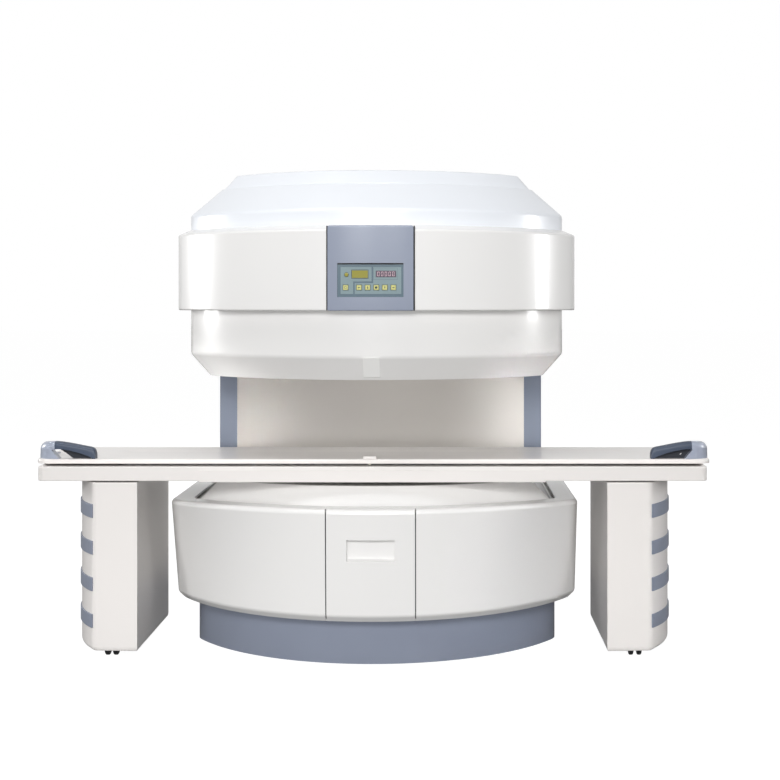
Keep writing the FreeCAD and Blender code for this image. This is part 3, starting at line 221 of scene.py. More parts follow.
skirt_form = (0.692, -0.760, 0.800, 0.100, 0.815, 0.200)
skirt_foot, skirt_top, skirt_sheet = 0.0005, 0.165, 0.004
skirt_section = rounded([(0.0, skirt_foot), (0.0, skirt_top, 0.003), (skirt_sheet, skirt_top),
                         (skirt_sheet, skirt_foot)])
# Powder coat on sheet steel: satin, with the orange peel of baked powder, drawn 3 mm apart to show.
powder_bluegrey = finish_of("bluegrey_powder_coat", "#8D94A4", "#838A9B", 260, 3.0, 0.05, depth=0.2,
                            Roughness=0.36, IOR=1.5, Coat_Weight=0.15, Coat_Roughness=0.12)
plinth = skinned("plinth_skirt", [cover_plan(skirt_form, inset) for inset, z in skirt_section],
                 [z for inset, z in skirt_section])
fitted(plinth, "magnet", "trim_bluegrey", powder_bluegrey, "floor_skirt")


# --- lower housing: cover, access door, deck ---------------------------------------------------------
# One glass-fibre tub, sprayed gloss white: its bowed front leans out towards the top, its foot is
# bevelled and its flat rim steps down to the deck. The door lifts off by a scooped grip.

base_form = (0.767, -0.844, 0.880, 0.112, 0.862, 0.260)
low_form = (0.761, -0.860, 1.250, 0.130, 0.858, 0.256)


def prism(name, near, far):
    """Closed piece between two outlines with the same count of points."""
    n = len(near)
    sides = [(i, (i + 1) % n, n + (i + 1) % n, n + i) for i in range(n)]
    return made(name, near + far, [tuple(reversed(range(n))), tuple(range(n, 2 * n))] + sides)


def box_between(name, low, high):
    """Box between two opposite corners."""
    (x0, y0, z0), (x1, y1, z1) = low, high
    bottom, top = ([(x0, y0, z), (x1, y0, z), (x1, y1, z), (x0, y1, z)] for z in (z0, z1))
    return prism(name, bottom, top)


def upright(name, ring, low, high):
    """Closed piece that rises straight up from a plan."""
    return prism(name, [(x, y, low) for x, y in ring], [(x, y, high) for x, y in ring])


def settle(piece, soft_below=34):
    """Applies a piece's modifiers to its mesh."""
    bpy.context.view_layer.update()
    result = bpy.data.meshes.new_from_object(piece.evaluated_get(bpy.context.evaluated_depsgraph_get()))
    piece.modifiers.clear()
    piece.data = result
    result.polygons.foreach_set("use_smooth", [True] * len(result.polygons))
    result.set_sharp_from_angle(angle=math.radians(soft_below))
    return piece


def carve(piece, tool, how="DIFFERENCE"):
    """Cuts a piece with a tool that isn't kept."""
    knife = piece.modifiers.new("cut", "BOOLEAN")
    knife.operation, knife.object, knife.solver = how, tool, "EXACT"
    settle(piece)
    bpy.data.objects.remove(tool)
    return piece


def ease(piece, width, segments=2, above=40):
    """Rounds the sharp edges of a piece, as a mould or a file leaves them."""
    edge = piece.modifiers.new("eased", "BEVEL")
    edge.width, edge.segments = width, segments
    edge.limit_method, edge.angle_limit = "ANGLE", math.radians(above)
    return settle(piece)


cover_foot, cover_knee, cover_rim, cover_lean = 0.1655, 0.189, 0.570, 0.371


def tub(name):
    """The lower cover: a bevelled foot, a wall that leans out to its rim, and the rim turned in."""
    section = rounded([(0.094, cover_foot), (0.024, cover_foot, 0.008), (0.0, cover_knee, 0.018),
                       (0.0, cover_rim, 0.019), (0.084, cover_rim, 0.003), (0.084, 0.5625), (0.010, 0.5625),
                       (0.010, 0.194), (0.028, 0.1735), (0.094, 0.1735)])
    rings = [leaning(base_form, low_form, (z - cover_knee) / cover_lean, inset) for inset, z in section]
    return skinned(name, rings, [z for inset, z in section])


# Gloss paint on glass fibre: a warm white that stays even, a faint orange peel drawn 4 mm apart.
gloss_white = finish_of("white_gloss_paint_on_glass_fibre", "#EFEEEC", "#EAE9E8", 700, 4.0, 0.05, depth=0.1,
                        Roughness=0.27, IOR=1.5, Coat_Weight=0.4, Coat_Roughness=0.08)
door_half, seam, grip_half = 0.1574, 0.0038, 0.085
lower_shell = carve(tub("lower_shell"), box_between("door_gap", (-door_half - seam, -0.95, 0.10),
                                                    (door_half + seam, -0.800, 0.62)))
fitted(ease(lower_shell, 0.0012), "magnet", "housing_white", gloss_white, "lower_cover")

door = carve(tub("lift_off_door"), box_between("door_blank", (-door_half, -0.95, 0.10),
                                               (door_half, -0.8003, 0.62)), "INTERSECT")
# Section of the finger scoop in (Y, Z), and of the thicker wall behind it.
scoop_section = [(-0.900, 0.380), (-0.850, 0.3845), (-0.837, 0.3865), (-0.830, 0.3925), (-0.828, 0.403),
                 (-0.828, 0.458), (-0.833, 0.468), (-0.845, 0.472), (-0.849, 0.462), (-0.900, 0.462)]
back_section = [(-0.8485, 0.375), (-0.824, 0.382), (-0.824, 0.476), (-0.8485, 0.476)]
back_half = grip_half + 0.004
carve(door, prism("grip_back", [(-back_half, y, z) for y, z in back_section],
                  [(back_half, y, z) for y, z in back_section]), "UNION")
carve(door, prism("grip_scoop", [(-grip_half, y, z) for y, z in scoop_section],
                  [(grip_half, y, z) for y, z in scoop_section]))
fitted(ease(door, 0.0012), "door", "housing_white", gloss_white, "access_door")

# The strips behind the door's seams are painted dark as painted shade, standing in for the shadow in each
# seam, so each seam reads as a thin dark line.
seam_shade_steel = finish_of("steel_strip_painted_seam_shade", "#3B3D40", "#333538", 60, 2.0, 0.03,
                         Roughness=0.5, IOR=1.5)
coat(seam_shade_steel, "door_frame")

pole_y, disc_radius, deck_level, boss_level = -0.305, 0.6416, 0.5492, 0.632
tray_section = [(0.066, deck_level), (0.066, 0.5616), (0.072, 0.5616), (0.072, 0.555), (0.200, 0.555),
                (0.200, deck_level)]
tray = skinned("deck_tray", [cover_plan(low_form, inset) for inset, z in tray_section],
               [z for inset, z in tray_section])
fitted(ease(tray, 0.001), "magnet", "housing_white", gloss_white, "lower_deck")

# The boss over the pole: bevelled and bowed in front, a disc behind, where the bay's panel curves
# round it. The two overlap by 10 mm about the line where they change.
boss_change = -0.049
rise_section = rounded([(0.088, deck_level), (0.173, boss_level, 0.010), (0.230, boss_level)])
rise = skinned("deck_boss", [cover_plan(low_form, inset) for inset, z in rise_section],
               [z for inset, z in rise_section], section_shut=False, lid=True, foot=True)
carve(rise, box_between("boss_ahead", (-0.80, -0.90, 0.50), (0.80, boss_change + 0.005, 0.70)), "INTERSECT")
disc_ring = []
sweep(disc_ring, 0.0, pole_y, disc_radius, 0.0, math.tau * 95 / 96, 95)
disc = upright("boss_disc", disc_ring, deck_level, boss_level)
carve(disc, box_between("boss_behind", (-0.70, boss_change - 0.005, 0.50), (0.70, 0.45, 0.70)), "INTERSECT")
carve(rise, disc, "UNION")
fitted(ease(rise, 0.004, 3, above=50), "magnet", "housing_white", gloss_white)


# --- column: cover, trims and the concave panel ------------------------------------------------------
# Behind the patient the yoke's post wears a moulded cover, closed in front by a panel that curves
# round the pole, between two painted metal trims. Louvres at the back let its warm air out.

# Satin structure paint on moulded ABS: warm white, fine spark-eroded grain drawn 2 mm apart.
satin_cream = finish_of("warm_white_structure_paint_on_abs", "#E3DFDA", "#DAD6D1", 420, 2.0, 0.06,
                        depth=0.3, Roughness=0.5, IOR=1.5)
# The trims are sprayed steel: the plinth's colour, a little greyer and with less gloss.
satin_bluegrey = finish_of("bluegrey_paint_on_steel", "#858D9D", "#7B8393", 300, 2.5, 0.04, depth=0.2,
                           Roughness=0.42, IOR=1.5, Coat_Weight=0.1, Coat_Roughness=0.2)
coat(satin_cream, "column_cover")
coat(satin_bluegrey, "column_trims")

bay_radius, bay_edge, panel_sheet = 0.6456, 0.5887, 0.006
reach = math.asin(bay_edge / bay_radius)
bay_ring = [(r * math.sin(reach * t / 48), pole_y + r * math.cos(reach * t / 48))
            for r, steps in ((bay_radius, range(-48, 49)), (bay_radius + panel_sheet, range(48, -49, -1)))
            for t in steps]
bay_panel = upright("bay_panel", bay_ring, 0.5554, 1.0256)
fitted(bay_panel, "magnet", "column_cream", satin_cream, "column_panel")


# --- upper housing: bevelled belly, body and proud band ----------------------------------------------
# The same gloss-white glass fibre closes the upper magnet: a bevelled foot round the belly pan, an
# upright body, and a band that stands proud of it with a sloped shoulder on top.

top_form = (0.718, -0.802, 0.850, 0.122, 0.802, 0.212)
belly_section = rounded([(0.115, 1.0202), (0.075, 1.0202, 0.005), (0.0, 1.105, 0.024), (0.0, 1.2718),
                         (0.006, 1.2718), (0.006, 1.107), (0.081, 1.0263), (0.115, 1.0263)])
belly_shell = skinned("belly_shell", [cover_plan(top_form, inset) for inset, z in belly_section],
                      [z for inset, z in belly_section])
fitted(belly_shell, "magnet", "housing_white", gloss_white, "upper_skirt")
coat(gloss_white, "upper_belly")
# The centre marker is a small block of the same paint, a little whiter.
marker_white = finish_of("white_marker_paint", "#FBFBF9", "#F7F7F5", 80, 3.0, 0.03, depth=0.1,
                         Roughness=0.25, IOR=1.5)
coat(marker_white, "centre_marker")

band_low, band_high, band_proud, shoulder = 1.2725, 1.560, -0.048, 1.580
band_section = rounded([(0.030, band_low), (band_proud, band_low, 0.006), (band_proud, band_high, 0.010),
                        (-0.0006, shoulder, 0.002), (-0.0006, 1.5602), (0.108, 1.5602), (0.108, 1.5542),
                        (-0.042, 1.5542), (-0.042, 1.2785), (0.030, 1.2785)])
band = skinned("body_band", [cover_plan(top_form, inset) for inset, z in band_section],
               [z for inset, z in band_section])
gap_half = 0.1572
carve(band, box_between("panel_gap", (-gap_half, -0.98, 1.25), (gap_half, -0.8117, 1.62)))
fitted(ease(band, 0.001), "magnet", "housing_white", gloss_white, "upper_band")


# --- roof: cover and cap -----------------------------------------------------------------------------
# Two shallow mouldings close the top: a cover that slopes in from the body, and a cap set into a groove at
# its crease. Their white is painted a shade bluer, a painted reflection of the cool light they face.

crease_form = (0.603, -0.662, 0.760, 0.080, 0.662, 0.150)
roof_form = (0.549, -0.589, 0.740, 0.060, 0.589, 0.110)


def roof_ring(low, high, slope, run):
    """Plan on a sloping cover: run is 0 at its low form, slope at its high one, and goes on inwards."""
    return leaning(low, high, run / slope, 0.0) if run <= slope else cover_plan(high, run - slope)


# The housing's gloss white again, tinted a shade bluer as a painted reflection.
gloss_white_painted_reflection = finish_of("white_gloss_with_painted_cool_reflection", "#ECEFF4", "#E6EAF0", 600, 4.0, 0.05,
                       depth=0.1, Roughness=0.28, IOR=1.5, Coat_Weight=0.35, Coat_Roughness=0.08)
cover_slope, cap_slope, groove = 0.115, 0.054, 0.0092
cover_section = rounded([(0.0, 1.5603), (0.0, 1.635, 0.022), (cover_slope, 1.7398, 0.006), (0.1235, 1.7398),
                         (0.1235, 1.734), (0.150, 1.734)])
roof_cover = skinned("roof_slope",
                     [roof_ring(top_form, crease_form, cover_slope, run) for run, z in cover_section],
                     [z for run, z in cover_section], section_shut=False, lid=True, foot=True)
fitted(roof_cover, "magnet", "roof_white", gloss_white_painted_reflection, "roof_cover")
cap_section = rounded([(0.0, 1.7343), (0.0, 1.7415, 0.002), (cap_slope, 1.795, 0.014), (0.090, 1.795)])
# The cap starts from the crease less the groove: its front lies at -Y and so moves the other way.
cap_low = tuple(size - groove * sign for size, sign in zip(crease_form, (1, -1, 1, 1, 1, 1)))
roof_cap = skinned("roof_top", [roof_ring(cap_low, roof_form, cap_slope, run) for run, z in cap_section],
                   [z for run, z in cap_section], section_shut=False, lid=True, foot=True)
fitted(roof_cap, "magnet", "roof_white", gloss_white_painted_reflection, "roof_cap")


# --- control panel and keypad ---------------------------------------------------------------------------
# A blue-grey moulded panel stands proud in the band's gap. Its window holds a printed keypad: a dark
# film and a paler one, six sprung keys, a position readout, an amber sight and a round lamp.

panel_half, panel_front, panel_back, panel_turn = 0.1518, -0.862, -0.8125, 0.910
panel_top, window_half, notch_radius = 1.575, 0.117, 0.0035


def panel_ring(inset):
    """Plan of the panel: a front bowed to panel_turn and a flat back."""
    half, radius = panel_half - inset, panel_turn - inset
    swing = math.asin(half / radius)
    centre = panel_front + panel_turn
    front = [(radius * math.sin(swing * t / 24), centre - radius * math.cos(swing * t / 24))
             for t in range(-24, 25)]
    return front + [(half, panel_back), (-half, panel_back)]


# Moulded ABS with a clear lacquer: blue-grey, glossy enough to hold a long soft highlight.
lacquered_bluegrey = finish_of("lacquered_bluegrey_abs", "#929AAB", "#878FA2", 240, 3.0, 0.04,
                               depth=0.12, Roughness=0.26, IOR=1.5, Coat_Weight=0.5, Coat_Roughness=0.08)
panel_section = rounded([(0.02, band_low), (0.0, band_low, 0.004), (0.0, panel_top, 0.007),
                         (0.02, panel_top)])
panel = skinned("panel_moulding", [panel_ring(inset) for inset, z in panel_section],
                [z for inset, z in panel_section], section_shut=False, lid=True, foot=True)
carve(panel, box_between("keypad_window", (-window_half, -0.95, 1.321), (window_half, -0.79, 1.441)))
for x in (-0.108, 0.106):
    notch_ring = []
    sweep(notch_ring, x, -0.861, notch_radius, 0.0, math.tau * 15 / 16, 15)
    carve(panel, upright("finger_notch", notch_ring, panel_top - 0.005, panel_top + 0.005))
fitted(ease(panel, 0.0018, 3), "magnet", "panel_bluegrey", lacquered_bluegrey, "control_panel")

# Black rubber profile in the joint on either side of the panel, its black also a painted shade for the
# joint's shadow: matt, slightly ribbed. The same black is painted along the top of the keypad's window as
# its recess's shadow.
black_rubber_and_painted_shade = finish_of("black_rubber_profile_with_painted_shade", "#1A1B1D", "#232426", 20, 1.0, 0.03,
                        Roughness=0.6, IOR=1.52)
seal_middle, seal_half = (panel_half + gap_half) / 2, 0.0024
for side, word in ((-1, "left"), (1, "right")):
    seal = box_between(word + "_panel_seal_painted_shade", (side * seal_middle - seal_half, -0.844, band_low + 0.001),
                       (side * seal_middle + seal_half, -0.814, panel_top - 0.0015))
    fitted(ease(seal, 0.0006), "magnet", "caster_black", black_rubber_and_painted_shade)

# Polyester keypad film, printed on the back: matt and even, with a very fine tooth.
film_teal = finish_of("teal_polyester_film", "#405C6A", "#395462", 120, 1.2, 0.02, depth=0.15,
                      Roughness=0.4, IOR=1.6)
film_pale = finish_of("pale_teal_polyester_film", "#73898E", "#6B8187", 120, 1.2, 0.02, depth=0.15,
                      Roughness=0.42, IOR=1.6)
key_resin = finish_of("pale_yellow_moulded_key", "#CDCB80", "#C3C074", 40, 1.0, 0.02, depth=0.2,
                      Roughness=0.4, IOR=1.5)
coat(film_teal, "keypad_frame")
coat(film_pale, "keypad_fascia")
coat(key_resin, "key_start", "key_out", "key_down", "key_stop", "key_up", "key_in")
# Windows of polished acrylic: smoked over the digits, clear amber over the sight and the lamp.
smoked_acrylic = finish_of("smoked_acrylic", "#6B5E6A", "#615560", 60, 5.0, 0.01, depth=0.05,
                           Roughness=0.12, IOR=1.49)
amber_acrylic = finish_of("amber_acrylic", "#9E9842", "#938D3B", 60, 5.0, 0.01, depth=0.05,
                          Roughness=0.14, IOR=1.49)
coat(smoked_acrylic, "number_window")
coat(amber_acrylic, "amber_window", "status_lamp")

# Screen-printed marks a tenth of a millimetre thick: dark green-grey on the keys, pale on the readout.
print_dark = finish_of("dark_screen_print", "#3F4C44", "#38443D", 20, 1.0, 0.01,
                       Roughness=0.5, IOR=1.5)
digit_pink = finish_of("lit_segment", "#E3C3CC", "#DDBBC5", 20, 1.0, 0.01, Roughness=0.4, IOR=1.5,
                       Emission_Color=(0.75, 0.5, 0.56, 1.0), Emission_Strength=0.35)


def printed(name, shapes, x, face, z, body, slot, ink):
    """Flat marks on a face that looks forward: shapes are outlines of (across, up) in millimetres."""
    points, faces = [], []
    for shape in shapes:
        n, m = len(points), len(shape)
        for depth in (0.00012, -0.0002):
            points += [(x + a / 1000, face - depth, z + b / 1000) for a, b in shape]
        faces.append(tuple(range(n, n + m)))
        faces.append(tuple(reversed(range(n + m, n + 2 * m))))
        faces += [(n + i, n + (i + 1) % m, n + m + (i + 1) % m, n + m + i) for i in range(m)]
    return fitted(made(name, points, faces), body, slot, ink)


def bar(x0, z0, x1, z1):
    """Outline of a bar between two corners."""
    return [(x0, z0), (x1, z0), (x1, z1), (x0, z1)]


def edging(half, high, across, up, x=0.0):
    """Four bars that frame an opening: they reach half and high to each side of x, across and up wide."""
    return [bar(x - half, high - up, x + half, high), bar(x - half, -high, x + half, up - high),
            bar(x - half, up - high, x - half + across, high - up),
            bar(x + half - across, up - high, x + half, high - up)]


def ring_part(radius, width, start, end, steps=14):
    """Pieces of a ring, drawn as short bars between two angles in degrees."""
    parts = []
    for i in range(steps):
        a, b = (math.radians(start + (end - start) * (i + k) / steps) for k in (0, 1))
        parts.append([(r * math.cos(t), r * math.sin(t))
                      for r, t in ((radius, a), (radius, b), (radius - width, b), (radius - width, a))])
    return parts


def arrow(turn):
    """Arrow with a shaft, turned by quarters from pointing right."""
    shape = [(-4.5, -0.8), (0.2, -0.8), (0.2, -3.2), (4.8, 0.0), (0.2, 3.2), (0.2, 0.8), (-4.5, 0.8)]
    for _ in range(turn):
        shape = [(-b, a) for a, b in shape]
    return [shape]


key_face, film_face, key_row = -0.8552, -0.853, 1.3547
marks = {"key_start": (-87.6, ring_part(5.0, 1.1, 125, 415) + [bar(-0.6, 0.8, 0.6, 6.0)]),
         "key_out": (-40.0, arrow(2)), "key_down": (-9.6, arrow(3)),
         "key_stop": (20.8, ring_part(4.4, 4.2, 0, 360, 18)), "key_up": (51.2, arrow(1)),
         "key_in": (81.6, arrow(0))}
for key, (x, shapes) in marks.items():
    printed("mark_" + key, shapes, x / 1000, key_face, key_row, key, "key_yellow", print_dark)

# Five digits 13.2 mm apart, each a nought: its six lit bars, clockwise from the top.
nought = [(-2.6, 6.6, 2.6, 7.6), (2.7, 0.7, 3.7, 6.9), (2.7, -6.9, 3.7, -0.7), (-2.6, -7.6, 2.6, -6.6),
          (-3.7, -6.9, -2.7, -0.7), (-3.7, 0.7, -2.7, 6.9)]
readout = [bar(x0 + across, z0, x1 + across, z1) for across in (-26.4, -13.2, 0.0, 13.2, 26.4)
           for x0, z0, x1, z1 in nought]
printed("readout_digits", readout, 0.055, -0.8546, 1.40275, "magnet", "window_dark", digit_pink)
printed("readout_border", edging(43, 20.8, 0.8, 0.8), 0.053, film_face, 1.4030, "magnet", "keypad_print",
        film_teal)
printed("sight_border", edging(30.4, 16.2, 2.1, 2.0), -0.037, film_face, 1.40175, "magnet", "keypad_print",
        print_dark)
key_edges = [edge for x, shapes in marks.values() for edge in edging(10.3, 10.3, 1.6, 1.6, x)]
printed("key_borders", key_edges, 0.0, film_face, key_row, "magnet", "keypad_print", print_dark)
# A black strip painted along the top of the keypad's window is painted shadow, standing in for the shade of
# the window's recess.
printed("keypad_recess_painted_shadow", [bar(-116.4, -2.4, 116.4, 2.4)], 0.0, -0.8521, 1.4383, "magnet", "caster_black",
        black_rubber_and_painted_shade)
printed("lamp_border", ring_part(8.4, 1.1, 0, 360, 28), -0.0845, film_face, 1.400, "magnet",
        "keypad_print", print_dark)


# --- table: beam, apron, rails -----------------------------------------------------------------------
# A long moulded beam bridges the lower housing on two legs and rolls in on casters. Two aluminium
# rails on it carry the sliding top on plastic runners; an apron laps its middle, below and behind.

def slab_plan(x0, x1, y0, y1, corner, inset=0.0):
    """Plan of a slab with round corners."""
    c = max(corner - inset, 0.002)
    points = []
    for x, y, turn in ((x1 - inset - c, y0 + inset + c, -90), (x1 - inset - c, y1 - inset - c, 0),
                       (x0 + inset + c, y1 - inset - c, 90), (x0 + inset + c, y0 + inset + c, 180)):
        sweep(points, x, y, c, math.radians(turn), math.radians(turn + 90), 10)
    return points


# Gloss paint on a moulded polyurethane skin: warm white, softer in its shine than the housing.
gloss_warm = finish_of("warm_white_gloss_on_polyurethane", "#EFEBE8", "#EAE6E3", 500, 3.0, 0.05,
                       depth=0.15, Roughness=0.33, IOR=1.5, Coat_Weight=0.25, Coat_Roughness=0.12)
# Anodised aluminium rails, drawn lengthwise: faint streaks 1 mm apart along X.
anodised_rail = finish_of("drawn_anodised_aluminium", "#B6B8BC", "#A6A9AE", 60, 1.0, 0.01,
                          stretch=(0.03, 1, 1), Metallic=1.0, Roughness=0.34)
# Runners of undyed nylon: off-white and dull.
slide_nylon = finish_of("natural_nylon", "#D8D4C8", "#CDC9BC", 30, 1.0, 0.02, Roughness=0.5, IOR=1.53)

# A raised lip runs round the beam's top edge and hides the slit under the sliding top.
beam_half, beam_low, lip_level = 1.218, 0.654, 0.706
beam_section = rounded([(0.03, beam_low), (0.0, beam_low, 0.003), (0.0, lip_level, 0.003),
                        (0.012, lip_level, 0.003), (0.0135, 0.6996), (0.03, 0.6995)])
beam_rings = [slab_plan(-beam_half, beam_half, -0.720, -0.185, 0.026, inset) for inset, z in beam_section]
beam = skinned("bridge_beam", beam_rings, [z for inset, z in beam_section], section_shut=False, lid=True,
               foot=True)
fitted(beam, "table", "table_cream", gloss_warm, "table_beam")
coat(gloss_warm, "beam_apron")
coat(anodised_rail, "guide_rails")
coat(slide_nylon, "top_runners")


# --- table top with its index block and catch --------------------------------------------------------
# A thin foam-cored slab, skinned in the same warm white, slides along the beam. A shallow trough
# runs down its middle; a low block and a half-round catch mark the middle of its front edge.

top_half, top_low, top_level = 1.243, 0.709, 0.7263
trough_half, trough_front, trough_back, trough_depth = 0.983, -0.570, -0.300, 0.005
top_section = rounded([(0.03, top_low), (0.0, top_low, 0.0015), (0.0, top_level, 0.007), (0.03, top_level)])
rings = [(slab_plan(-top_half, top_half, -0.650, -0.220, 0.040, inset), z) for inset, z in top_section]
for step in range(9):
    s = step / 8
    x = trough_half - 0.05 * s
    rings.append((slab_plan(-x, x, trough_front + 0.075 * s, trough_back - 0.075 * s, 0.030),
                  top_level - trough_depth * (3 * s * s - 2 * s ** 3)))
table_top = skinned("sliding_top", [ring for ring, z in rings], [z for ring, z in rings],
                    section_shut=False, lid=True, foot=True)
fitted(table_top, "table_top", "table_cream", gloss_warm, "tabletop")

block_section = rounded([(0.0, 0.7264), (0.0, 0.7363, 0.004), (0.012, 0.7363)])
block = skinned("index_block_cap",
                [slab_plan(-0.038, 0.012, -0.651, -0.616, 0.009, inset) for inset, z in block_section],
                [z for inset, z in block_section], section_shut=False, lid=True, foot=True)
fitted(block, "table_top", "table_cream", gloss_warm, "index_block")
half_round = []
sweep(half_round, -0.0136, 0.7091, 0.006, 0.0, -math.pi, 14)
catch = prism("index_catch", [(x, -0.648, z) for x, z in half_round],
              [(x, -0.610, z) for x, z in half_round])
fitted(ease(catch, 0.0008), "table_top", "runner_plastic", slide_nylon)


# --- corner handles ------------------------------------------------------------------------------------
# Each front corner of the top carries a moulded handle that sweeps round it. Its boot is lacquered
# blue-grey; its arched grip, scooped and pierced for the fingers, is painted nearly black as painted shade.

lacquered_boot = finish_of("lacquered_bluegrey_grip_boot", "#A3AAB9", "#989FB0", 120, 2.0, 0.04,
                           depth=0.15, Roughness=0.3, IOR=1.5, Coat_Weight=0.4, Coat_Roughness=0.1)
# The grip's front faces are painted a nearly black blue-grey as painted shade, for the shadow seen on this
# part of the handle: dull, with a fine tooth.
grip_painted_shade = finish_of("grip_nearly_black_painted_shade", "#3F4A5D", "#353F50", 60, 1.2, 0.04,
                       depth=0.3, Roughness=0.42, IOR=1.52)
# The finger scoop's back wall is painted near-black, a painted shade for the shadow deep in the scoop.
scoop_painted_shade = finish_of("painted_shade_in_the_finger_scoop", "#23272F", "#1D2129", 40, 1.2, 0.04,
                         depth=0.3, Roughness=0.5, IOR=1.52)
grip_out, grip_front, grip_turn, grip_thick, grip_base = 1.241, -0.647, 0.066, 0.034, 0.7264
grip_high, scoop_depth, opening_depth = 0.0638, 0.027, 0.06


def grip_path():
    """Middle line of a right handle in plan, with its outward direction and its height on the table."""
    middle = grip_thick / 2
    crown = [(0.0, 0.020), (0.003, 0.031), (0.007, 0.037), (0.013, 0.041), (0.022, 0.0432), (0.045, 0.0475),
             (0.070, 0.0525), (0.095, 0.0572), (0.120, 0.0612), (0.1375, 0.0632), (0.150, grip_high)]
    stations = [((grip_out - 0.218 + run, grip_front + middle), (0.0, -1.0), high) for run, high in crown]
    radius = grip_turn - middle
    for i in range(1, 13):
        t = -math.pi / 2 + math.pi / 2 * i / 12
        u, v = math.cos(t), math.sin(t)
        place = (grip_out - grip_turn + radius * u, grip_front + grip_turn + radius * v)
        stations.append((place, (u, v), grip_high - 0.004 * i / 12))
    tail = [(0.02, 0.055), (0.04, 0.044), (0.06, 0.030), (0.075, 0.018), (0.09, 0.010), (0.115, 0.006),
            (0.144, 0.004)]
    for back, high in tail:
        stations.append(((grip_out - middle, grip_front + grip_turn + back), (1.0, 0.0), high))
    return stations


def finger_cut(side, shape, depth):
    """Cutter for a handle: an outline in (x, z) from before its front to a depth in it."""
    near, far = ([(side * x, y, z) for x, z in shape] for y in (grip_front - 0.02, grip_front + depth))
    return prism("finger_cut", near, far)


def grip(word, side):
    """A corner handle: its section is swept round the corner, then scooped and pierced."""
    rings = []
    for (x, y), (u, v), high in grip_path():
        # the crown rolls over the farther it turns to the side
        outer, inner = min(0.016 + 0.012 * u, 0.5 * high), min(0.006, 0.4 * high)
        half = grip_thick / 2
        across = [(half, 0.0), (half, 0.3 * (high - outer)), (half - 0.0008, 0.7 * (high - outer))]
        across += [(half - outer + outer * math.cos(t) - 0.0008, high - outer + outer * math.sin(t))
                   for t in (math.radians(a) for a in (0, 18, 36, 54, 72, 90))]
        across += [(-half + inner - inner * math.sin(t), high - inner + inner * math.cos(t))
                   for t in (math.radians(a) for a in (0, 30, 60, 90))]
        across.append((-half, 0.0))
        rings.append([(side * (x + u * a), y + v * a, grip_base + b) for a, b in across])
    width, rows = len(rings[0]), len(rings)
    faces = []
    for j in range(rows - 1):
        for i in range(width):
            n = (i + 1) % width
            faces.append((j * width + i, j * width + n, (j + 1) * width + n, (j + 1) * width + i))
    faces += [tuple(range(width)), tuple(reversed(range((rows - 1) * width, rows * width)))]
    piece = made(word + "_corner_grip", [p for ring in rings for p in ring], faces)

    scoop = [(1.174, 0.7592), (1.170, 0.7612), (1.160, 0.7618), (1.140, 0.7606), (1.110, 0.7550),
             (1.079, 0.7468), (1.050, 0.7368), (1.036, 0.7300), (1.036, 0.7250), (1.1453, 0.7250)]
    wedge = [(1.184, 0.7592), (1.172, 0.7612), (1.158, 0.7588), (1.1356, 0.7444), (1.110, 0.7250),
             (1.1553, 0.7250)]
    slot = [(1.141, 0.7450), (1.137, 0.7450), (1.130, 0.7390), (1.136, 0.7390)]
    carve(piece, finger_cut(side, scoop, scoop_depth))
    carve(piece, finger_cut(side, wedge if side < 0 else slot, opening_depth))
    ease(piece, 0.0012)
    fitted(piece, "table_top", "handle_bluegrey", lacquered_boot, word + "_handle")
    piece.data.materials.append(grip_painted_shade)
    piece.data.materials.append(scoop_painted_shade)
    # the boot ends on a line that slopes from its crest down to the table
    crest_x, crest_z, slope = 1.1738, 0.7591, 0.847
    for face in piece.data.polygons:
        x, y, z = face.center
        if abs(x) < crest_x - slope * max(0.0, crest_z - z) and y < grip_front + opening_depth:
            # the scoop's back wall takes the darker painted shade
            in_scoop_shade = abs(y - grip_front - scoop_depth) < 0.002 and face.normal.y < -0.9
            # the grip's other front faces take the grip's painted shade
            face.material_index = 2 if in_scoop_shade else 1
    return piece


grip("left", -1)
grip("right", 1)


# --- legs and their buffer straps ----------------------------------------------------------------------
# Each leg is a hollow moulding, flat inside and in front and bowed on its outer side, hung on a
# welded frame. Four rubber straps wrap the bow as bumpers, with their ends let in at the front.

leg_inner, leg_front, leg_rear, leg_corner = 0.853, -0.720, -0.140, 0.030
leg_bow, leg_centre, leg_sheet = 0.4723, 0.6397, 0.006
leg_middle = (leg_front + leg_rear) / 2
leg_lean = math.asin((leg_rear - leg_corner - leg_middle) / (leg_bow - leg_corner))
leg_turn = leg_centre + (leg_bow - leg_corner) * math.cos(leg_lean)


def leg_bend(inset, start=-math.pi / 2):
    """Outer side of a right leg, from the front corner's arc round the bow to the rear one."""
    points = []
    sweep(points, leg_turn, leg_front + leg_corner, leg_corner - inset, start, -leg_lean, 8)
    sweep(points, leg_centre, leg_middle, leg_bow - inset, -leg_lean, leg_lean, 40)
    sweep(points, leg_turn, leg_rear - leg_corner, leg_corner - inset, leg_lean, -start, 8)
    return points


def leg_plan(side, inset):
    """Plan of a leg: small insets are the rounding of its foot, from 0.035 on they are even all round."""
    outline = [(leg_inner + inset, leg_front + inset)] + leg_bend(inset)
    outline.append((leg_inner + inset, leg_rear - inset))
    flush = [(leg_inner, leg_front)] + leg_bend(0.0) + [(leg_inner, leg_rear)]
    placed = []
    for (x, y), (x0, y0) in zip(outline, flush):
        # the foot is rounded fully on the bowed side and only eased in front and inside
        share = 0.16 + 0.84 * min(max((x0 - 0.95) / 0.09, 0.0), 1.0) if inset < 0.035 else 1.0
        placed.append((side * (x0 + (x - x0) * share), y0 + (y - y0) * share))
    return placed


# Bumper rubber: blue-grey, smooth from its mould, slightly dusty.
bumper_rubber = finish_of("bluegrey_moulded_rubber", "#878E9E", "#7B8292", 50, 1.5, 0.03,
                          depth=0.2, Roughness=0.46, IOR=1.52)
